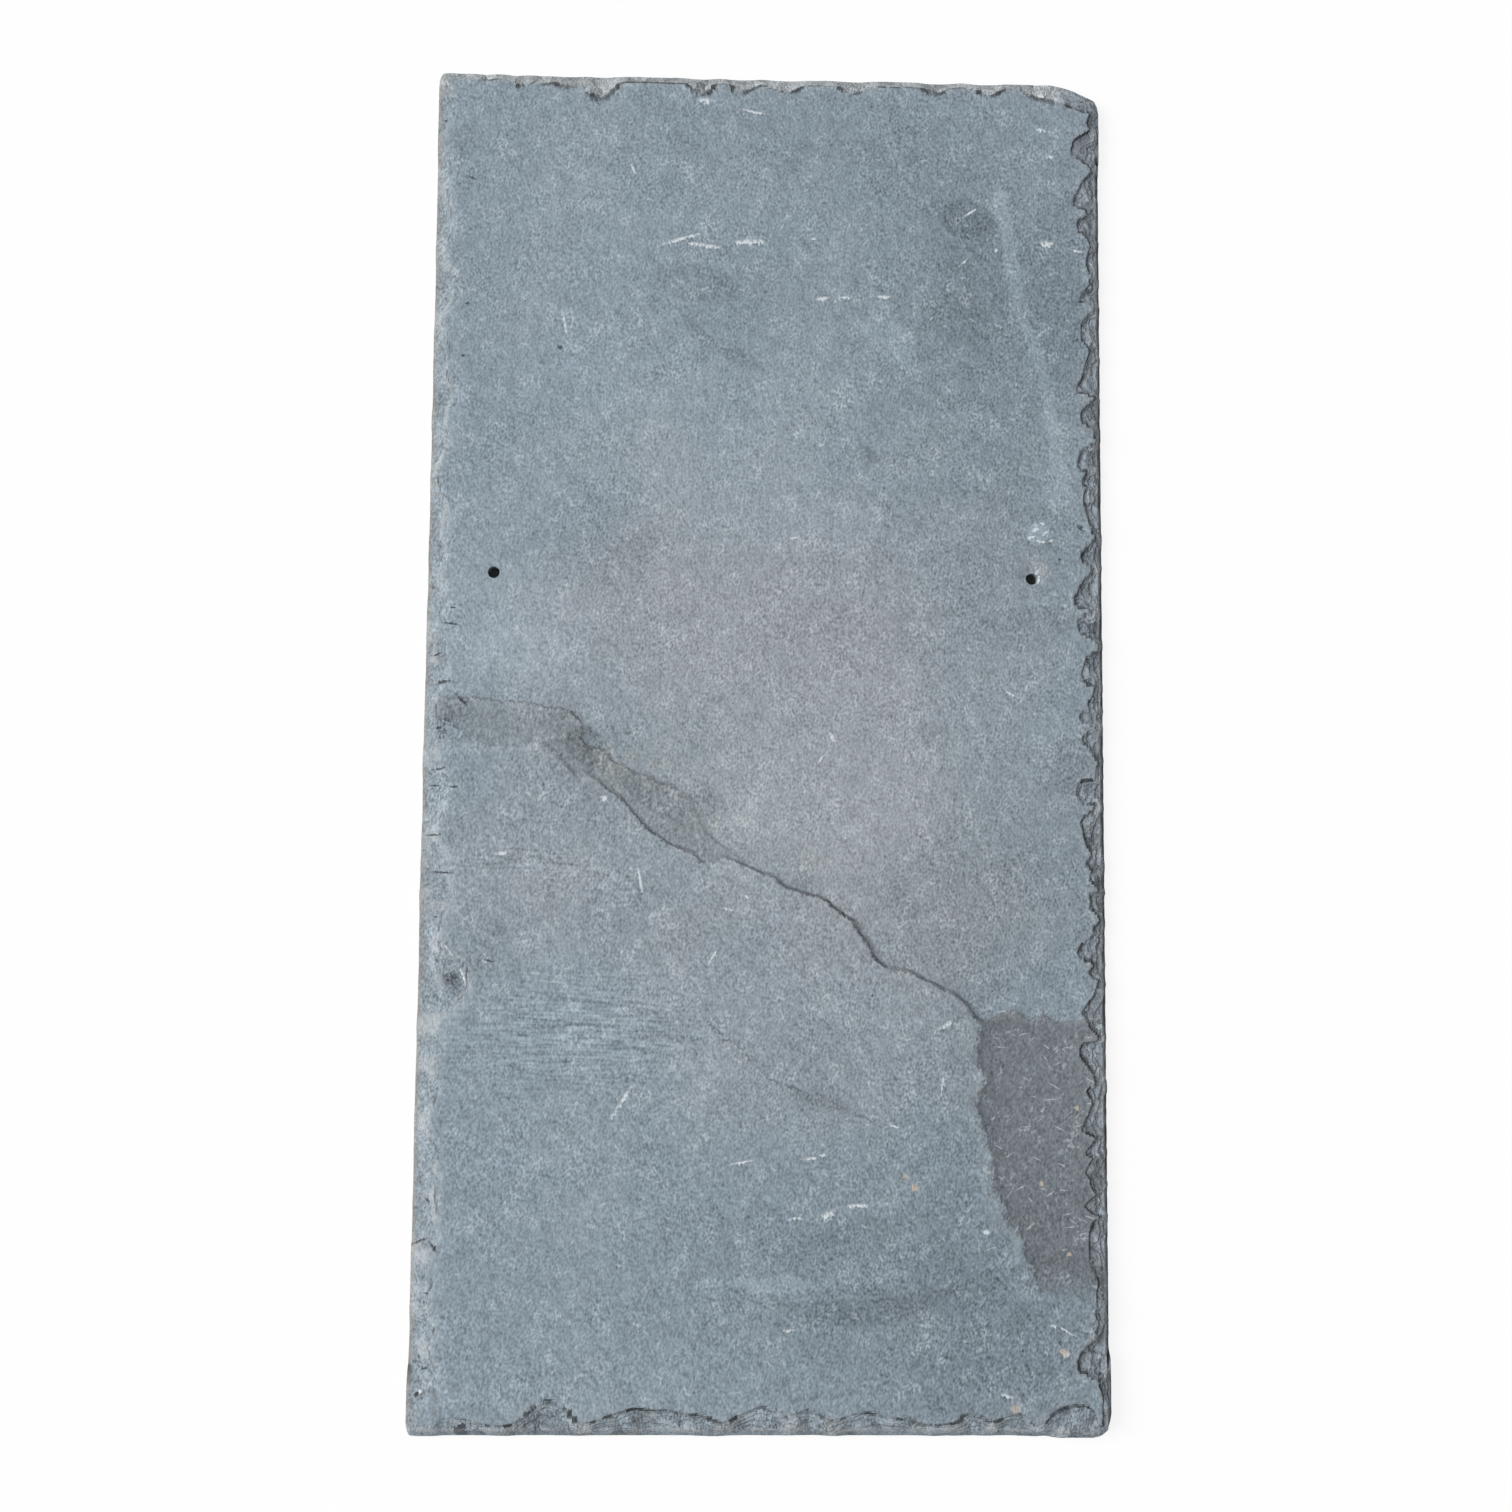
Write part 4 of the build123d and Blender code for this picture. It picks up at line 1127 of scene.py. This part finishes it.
# %% [markdown]
# ## The finish: colour of the stone
# The face drifts from blue-grey to a warmer, paler grey where rain and light reached it most. The broken
# patches are darker and browner, and each dressed edge has a shade of its own. The colours are laid in
# that order, each masked by a number kept on the points. The patches need ragged limits, so their soft
# levels are roughened by the grain before they are cut off.

# %% Colours of the face and the edges
COOL_FACE, WARM_FACE = paint(137, 151, 161), paint(149, 156, 162)
BARE_SKIN, BARE_CORNER, DEPOSIT = paint(130, 139, 145), paint(113, 120, 126), paint(163, 163, 152)
TAIL_EDGE, LEFT_EDGE = paint(134, 145, 153), paint(136, 147, 155)
RIGHT_EDGE, HEAD_EDGE = paint(132, 141, 149), paint(160, 166, 169)

dressed_mask, hollow_mask, crest_mask = mask("dressed"), mask("hollow"), mask("crest")
left_mask, right_mask, head_mask = mask("left_side"), mask("right_side"), mask("head_side")
inner_mask = reckon(tree, "SUBTRACT", 1.0, dressed_mask)
sound_level = weigh(tree, (mask("sound"), 1.0), (felt, 0.17), (speckle, 0.12))
crust_level = weigh(tree, (mask("crust"), 1.0), (felt, 0.17), (speckle, 0.12))
skin = times(between(sound_level, 0.44, 0.56), between(crust_level, 0.66, 0.34), mask("patch_fade"))
deposit = times(mask("deposit"), between(weigh(tree, (mottle, 1.0), (speckle, 0.4)), -0.4, 0.5), 0.38)
warmth = weigh(tree, (mask("warmth"), 1.0), (cloud, 0.22), (mottle, 0.10))
face_paint = mix_paint(tree, warmth, COOL_FACE, WARM_FACE)
face_paint = mix_paint(tree, times(skin, 0.8), face_paint, BARE_SKIN)
face_paint = mix_paint(tree, times(skin, mask("lower_corner"), 0.9), face_paint, BARE_CORNER)
face_paint = mix_paint(tree, deposit, face_paint, DEPOSIT)
edge_paint = TAIL_EDGE
for side_mask, side_paint in ((left_mask, LEFT_EDGE), (right_mask, RIGHT_EDGE), (head_mask, HEAD_EDGE)):
    edge_paint = mix_paint(tree, side_mask, edge_paint, side_paint)
stone_paint = mix_paint(tree, dressed_mask, face_paint, edge_paint)
print("with colours:", len(tree.nodes), "nodes")

# %% [markdown]
# ## The finish: light and dark
# On top of its colour the stone has shades: grain, stains, brushed streaks and, on the flaked edges, beds
# and chips that each differ a little from the next. They are summed as one number, and the colour is
# multiplied by 1 plus that number, because a shade of stone darkens all three colours alike.

# %% Shades of the face and the edges
ragged = weigh(tree, (mottle, 0.9), (felt, 0.5), (speckle, 0.3))
stained, bloomed = (
    times(between(reckon(tree, "ADD", mask(name), ragged), -0.6, 0.9), mask(name + "_amount"))
    for name in ("stain", "bloom")
)
stain_tone = weigh(tree, (stained, -0.15), (bloomed, 0.16))
rough = reckon(tree, "MAXIMUM", reckon(tree, "MULTIPLY_ADD", patchy, 0.35, 1.0), 0.8)
grain = times(weigh(tree, (fibre, 0.25), (speckle, 0.22)), rough)
# The shade mask brings in the broad tones, with the painted shade towards the right side.
face_tone = weigh(
    tree, (grain, 1.0), (felt, 0.10), (drift, 0.09), (mottle, 0.08), (cloud, 0.04), (mask("shade"), 1.0),
    (times(brushed, mask("brushed")), 0.26), (stain_tone, 1.0), (1.0, -0.025),
)
bed_count = weigh(tree, (mask("bed_height"), 1 / BED), (speckle, 0.10), (felt, 0.14))
bed_whole = reckon(tree, "FLOOR", bed_count)
bed_tone = add_node(tree, "TexWhiteNoise", {"W": bed_whole}, noise_dimensions="1D").outputs[0]
edge_tone = weigh(
    tree, (felt, 0.10), (fibre, 0.28), (speckle, 0.20), (chip["Tone"], 0.55), (small_chip["Tone"], 0.30),
    (bed_tone, 0.30), (1.0, -0.11),
)
left_tone = weigh(
    tree, (grain, 1.4), (felt, 0.18), (mottle, 0.12), (small_chip["Tone"], 0.24), (stain_tone, 1.6)
)
tone = blend(dressed_mask, face_tone, blend(left_mask, edge_tone, left_tone))
bright = reckon(tree, "ADD", tone, 1.0)
toned = add_node(tree, "VectorMath", {"Vector": stone_paint, "Scale": bright}, operation="SCALE").outputs[0]
print("with shades:", len(tree.nodes), "nodes")

# %% [markdown]
# ## The finish: painted shade, dirt and wear
# Thin dark lines are painted along the ledge, along the flakes' rims and along the beds and chips that
# they cut across: painted shade of their small steps and creases, strongest on the side that faces away
# from the light, with some dirt in the ledge's crevice. The steep risers, the hollows and the right edge's
# outer strip get painted shade as well. Modelled grooves would need far more points. Here a line is drawn
# wherever a value kept on the points passes a half, so it stays thin at any grid size. Crests are rubbed
# pale, partly as a painted highlight, and a brownish film lies along the left edge.

# %% Lines of painted shade and dirt, and pale crests
# Dark lines of painted shade and dirt; crests rubbed pale, partly a painted highlight; a film on the left
# edge.
SHADE_AND_DIRT, RUBBED_AND_HIGHLIGHT, LEFT_FILM = paint(56, 58, 62), paint(188, 191, 192), paint(162, 156, 147)

# The ledge's and the leaf's seam lines: painted shadow of their small steps, with some dirt in the crevice.
crust_line = times(line_at_half(crust_level, 0.05, 0.19), mask("crust_seam"))
skin_line = times(line_at_half(sound_level, 0.03, 0.13), mask("skin_seam"))
lip_level = weigh(tree, (mask("lip_gap"), 0.4), (felt, 0.3), (speckle, 0.15), (1.0, 0.5))
lip_line = times(line_at_half(lip_level, 0.06, 0.20), between(mottle, -0.5, 0.3), mask("lip_reach"), 0.6)
ledge_line = highest(crust_line, skin_line, lip_line)
ledge_line = times(ledge_line, inner_mask, reckon(tree, "MULTIPLY_ADD", mottle, 0.3, 0.75))

# Rim, bed and chip lines: painted shade, strongest on slopes facing away from the light, faint on the lit
# left edge.
shade_share = weigh(tree, (mask("away_from_light"), 0.8), (mottle, 0.15), (1.0, 0.2), (head_mask, -0.25))
rim_share = weigh(tree, (right_mask, 0.2), (left_mask, -0.65), (head_mask, -0.2), (1.0, 0.65))
rim_level = weigh(tree, (mask("flaked"), 1.0), (speckle, 0.14), (felt, 0.12))
rim_line = times(line_at_half(rim_level, 0.06, 0.30), rim_share, shade_share)
bedded_mask, bed_rest = mask("bedded"), reckon(tree, "FRACT", bed_count)
bed_line = times(line_at_half(bed_rest, 0.06, 0.22), bedded_mask, shade_share, 0.75)
chip_share = weigh(tree, (left_mask, -0.38), (head_mask, -0.2), (1.0, 0.6))
chip_line = highest(between(chip["Gap"], 0.07, 0.02), times(between(small_chip["Gap"], 0.09, 0.03), 0.7))
chip_patches = between(weigh(tree, (mottle, 1.0), (felt, 0.5)), -0.25, 0.45)
chip_line = times(chip_line, dressed_mask, chip_patches, chip_share)
# Painted shade on steep risers, deeper in hollows, less on the lit left edge.
riser_shade = times(reckon(tree, "MULTIPLY_ADD", hollow_mask, 0.25, 0.10), mask("riser"))

own = add_node(tree, "SeparateXYZ", {"Vector": place}).outputs
# The right edge's outer strip, whose bevel faces away from the light: painted shade, with some dirt.
right_end = times(between(own["X"], WIDTH / 2 - 1.1, WIDTH / 2 - 0.4), between(mottle, -0.6, 0.4))
right_band = between(weigh(tree, (own["X"], 1.0), (felt, 1.2)), WIDTH / 2 - 4.0, WIDTH / 2 - 1.5)
right_shade_and_dirt = weigh(tree, (right_end, 0.45), (times(right_band, dressed_mask), 0.22))
shade_and_dirt = highest(ledge_line, rim_line, bed_line, chip_line, riser_shade, right_shade_and_dirt)
# Crests rubbed pale: partly wear, partly a painted highlight.
rub_and_highlight = times(crest_mask, reckon(tree, "MULTIPLY_ADD", dressed_mask, 0.25, 0.15))
left_film = between(weigh(tree, (own["X"], 1.0), (felt, 0.7)), 2.2 - WIDTH / 2, 0.4 - WIDTH / 2)
toned = mix_paint(tree, shade_and_dirt, toned, SHADE_AND_DIRT)
toned = mix_paint(tree, rub_and_highlight, toned, RUBBED_AND_HIGHLIGHT)
toned = mix_paint(tree, times(left_film, 0.5), toned, LEFT_FILM)
print("with dirt and wear:", len(tree.nodes), "nodes")

# %% [markdown]
# ## The finish: small marks
# White scuffs, scratches and flecks, tan specks and dark cracks lie on top of everything else. Each kind
# uses the mark group once for all its marks, and its edge is frayed by the grain, because a scuff on stone
# only whitens the high grains. The plain back is painted last.

# %% Scuffs, specks, cracks and the back
SCUFF, TAN, CRACK_AND_PIT_SHADE, BACK = paint(214, 220, 224), paint(186, 173, 158), paint(48, 49, 52), paint(122, 130, 137)

stray, fray = times(felt, 0.35), weigh(tree, (speckle, 0.45), (felt, 0.2))


def marked(name):
    """How deep a point lies in its nearest mark of the given kind, with an edge frayed by the grain."""
    kept = {part: mask(name + "_" + part.lower()) for part in ("Along", "Across", "Number")}
    return use_group(tree, mark_group, Stray=stray, Fray=fray, **kept)


high_grains = between(weigh(tree, (fibre, 1.0), (speckle, 0.4)), -0.35, 0.15)
scuffed = times(marked("scuff"), reckon(tree, "MULTIPLY_ADD", high_grains, 0.65, 0.35))
scatter = times(between(weigh(tree, (fibre, 1.0), (speckle, 0.3)), 0.12, 0.34), between(mottle, 0.15, 0.6))
whitened = highest(
    times(scuffed, 0.9), times(scatter, inner_mask, 0.22), times(marked("scratch"), 0.42),
    times(marked("fleck"), 0.35),
)
tanned = times(marked("tan"), reckon(tree, "MULTIPLY_ADD", high_grains, 0.5, 0.4))
underside_mask = mask("underside")
toned = mix_paint(tree, whitened, toned, SCUFF)
toned = mix_paint(tree, tanned, toned, TAN)
# Dark cracks, and black painted shade in the pinholes.
toned = mix_paint(tree, times(marked("crack_and_pit_shade"), 0.85), toned, CRACK_AND_PIT_SHADE)
toned = mix_paint(tree, underside_mask, toned, BACK)
print("with small marks:", len(tree.nodes), "nodes")

# %% [markdown]
# ## The finish: bump and shader
# Relief finer than the grid is a bump, in millimetres: grain on the face, beds and leaning chips on the
# flaked edges. It only bends the light, so the large forms aren't left to it. One Principled shader makes
# the stone matt, a little rougher where it is scuffed.

# %% Bump and shader
SPECULAR, ROUGHNESS = 0.22, 0.76

face_relief = weigh(tree, (fibre, 0.070), (speckle, 0.03), (felt, 0.05), (mottle, 0.05))
chip_relief = weigh(tree, (chip["Tilt"], 1.8), (small_chip["Tilt"], 0.5))
chip_relief = times(chip_relief, weigh(tree, (left_mask, -0.75), (1.0, 1.0)))
bed_level = times(reckon(tree, "ADD", bed_whole, between(bed_rest, 0.42, 0.58)), BED)
bed_relief = times(reckon(tree, "SUBTRACT", bed_level, own["Z"]), bedded_mask)
edge_relief = weigh(tree, (bed_relief, 0.5), (felt, 0.06), (fibre, 0.08), (speckle, 0.03), (chip_relief, 1.0))
relief = blend(dressed_mask, face_relief, edge_relief)
relief = times(relief, reckon(tree, "SUBTRACT", 1.0, underside_mask))
bump = add_node(tree, "Bump", {"Strength": 1.0, "Distance": MM, "Height": relief})
roughness = weigh(tree, (fibre, 0.05), (scuffed, 0.06), (1.0, ROUGHNESS))
stone = add_node(
    tree, "BsdfPrincipled",
    {"Base Color": toned, "Roughness": roughness, "Normal": bump.outputs[0], "Specular IOR Level": SPECULAR},
)
add_node(tree, "OutputMaterial", {"Surface": stone.outputs[0]})
mesh.materials.append(slate_paint)
print("slate material:", len(tree.nodes), "nodes")

# %% [markdown]
# ## The floor
# The slate lies on a plain white floor. Seen by the camera the floor is mostly its own white, so it
# stays white without more light on the slate, but a share of it is lit and keeps the slate's shadow.
# A patch under the slate is painted dark, as painted shade, so the nail holes read as holes.

# %% The floor
FLOOR_HALF, FLOOR_GAP, SHADE_INSET = 1200.0, 0.15, 6.0
WHITE, WHITE_SHARE, SHADE_UNDER_SLATE = (0.95, 0.95, 0.95, 1), 0.85, (0.12, 0.12, 0.12, 1)


def white_to_camera(nodes):
    """1 for rays that show the background: from the camera, off a gloss or through glass."""
    path = add_node(nodes, "LightPath").outputs
    seen = reckon(nodes, "MAXIMUM", path["Is Camera Ray"], path["Is Glossy Ray"])
    return reckon(nodes, "MAXIMUM", seen, path["Is Transmission Ray"])


def floor_finish(name, shade, own_white):
    """A matt floor of one shade, of which a share glows white to the rays that show the background."""
    finish = bpy.data.materials.new(name)
    finish.use_nodes = True
    nodes = finish.node_tree
    nodes.nodes.clear()
    lit = add_node(nodes, "BsdfDiffuse", {"Color": shade})
    glow = add_node(nodes, "Emission", {"Color": (1, 1, 1, 1), "Strength": 1.0})
    share = reckon(nodes, "MULTIPLY", white_to_camera(nodes), own_white)
    mixed = add_node(nodes, "MixShader", {0: share, 1: lit.outputs[0], 2: glow.outputs[0]})
    add_node(nodes, "OutputMaterial", {"Surface": mixed.outputs[0]})
    return finish


line_x = np.array([-FLOOR_HALF, SHADE_INSET - WIDTH / 2, WIDTH / 2 - SHADE_INSET, FLOOR_HALF])
line_y = np.array([-FLOOR_HALF, SHADE_INSET - LENGTH / 2, LENGTH / 2 - SHADE_INSET, FLOOR_HALF])
floor_x, floor_y = np.meshgrid(line_x, line_y)
floor_points = np.stack([floor_x, floor_y, np.full(floor_x.shape, -FLOOR_GAP)], axis=-1).reshape(-1, 3) * MM
floor_at = np.arange(floor_x.size).reshape(floor_x.shape)
floor_faces = quads(floor_at[:-1, :-1], floor_at[:-1, 1:], floor_at[1:, 1:], floor_at[1:, :-1])
floor_mesh = bpy.data.meshes.new("floor")
floor_mesh.from_pydata(floor_points, [], floor_faces.tolist())
floor_mesh.materials.append(floor_finish("white_floor", WHITE, WHITE_SHARE))
# The patch under the slate is painted shade.
floor_mesh.materials.append(floor_finish("painted_shade_under_slate", SHADE_UNDER_SLATE, 0.0))
painted_shade_index = np.zeros(len(floor_faces), np.int32)
painted_shade_index[len(floor_faces) // 2] = 1
floor_mesh.polygons.foreach_set("material_index", painted_shade_index)
floor = bpy.data.objects.new("floor", floor_mesh)
bpy.context.scene.collection.objects.link(floor)
print("floor:", 2 * FLOOR_HALF, "mm square")

# %% [markdown]
# ## Light
# Relief this low shows only in light from the side, so a soft sun stands low on the left, and an even sky
# fills the shadows. Their shares add up to 1 on a level face, so the face shows its own written colour.

# %% Light
SUN_SHARE, SUN_HEIGHT, SUN_ANGLE = 0.60, math.radians(36), math.radians(40)
SUN_FROM = Vector((-1.0, 0.12, 0.0)).normalized()

sun_data = bpy.data.lights.new("low_sun", "SUN")
sun_data.energy = SUN_SHARE * math.pi / math.sin(SUN_HEIGHT)
sun_data.angle = SUN_ANGLE
sun = bpy.data.objects.new("low_sun", sun_data)
sun_dir = SUN_FROM * math.cos(SUN_HEIGHT) + Vector((0, 0, math.sin(SUN_HEIGHT)))
sun.matrix_world = sun_dir.to_track_quat("Z", "Y").to_matrix().to_4x4()
bpy.context.scene.collection.objects.link(sun)

world = bpy.data.worlds.new("even_sky")
world.use_nodes = True
sky = world.node_tree
sky.nodes.clear()
sky_level = reckon(sky, "MULTIPLY_ADD", white_to_camera(sky), SUN_SHARE, 1 - SUN_SHARE)
sky_light = add_node(sky, "Background", {"Color": (1, 1, 1, 1), "Strength": sky_level})
add_node(sky, "OutputWorld", {"Surface": sky_light.outputs[0]})
bpy.context.scene.world = world
bpy.context.scene.view_settings.view_transform = "Standard"
print("sun strength", sun_data.energy, "and sky level", 1 - SUN_SHARE)

# %% [markdown]
# ## Camera
# The photograph looks almost straight down, a little from the tail's end. The camera stands where the
# slate's four corners fall on the same places in the picture, with a plain lens and no shift.

# %% Camera
LENS, SENSOR = 38.0, 36.0
CAMERA_PLACE = Vector((-17.1, -56.1, 596.2))
CAMERA_TARGET = Vector((-3.4, -7.8, 0.0))
CAMERA_UP = Vector((-0.010, 0.997, 0.080))

ahead = (CAMERA_TARGET - CAMERA_PLACE).normalized()
right = ahead.cross(CAMERA_UP).normalized()
turned = Matrix((right, right.cross(ahead), -ahead)).transposed().to_4x4()
camera_data = bpy.data.cameras.new("camera")
camera_data.lens = LENS
camera_data.sensor_width = SENSOR
camera_data.clip_start = 0.01
camera = bpy.data.objects.new("camera", camera_data)
camera.matrix_world = Matrix.Translation(CAMERA_PLACE * MM) @ turned
bpy.context.scene.collection.objects.link(camera)
bpy.context.scene.camera = camera
print("camera looks from", tuple(CAMERA_PLACE), "mm")
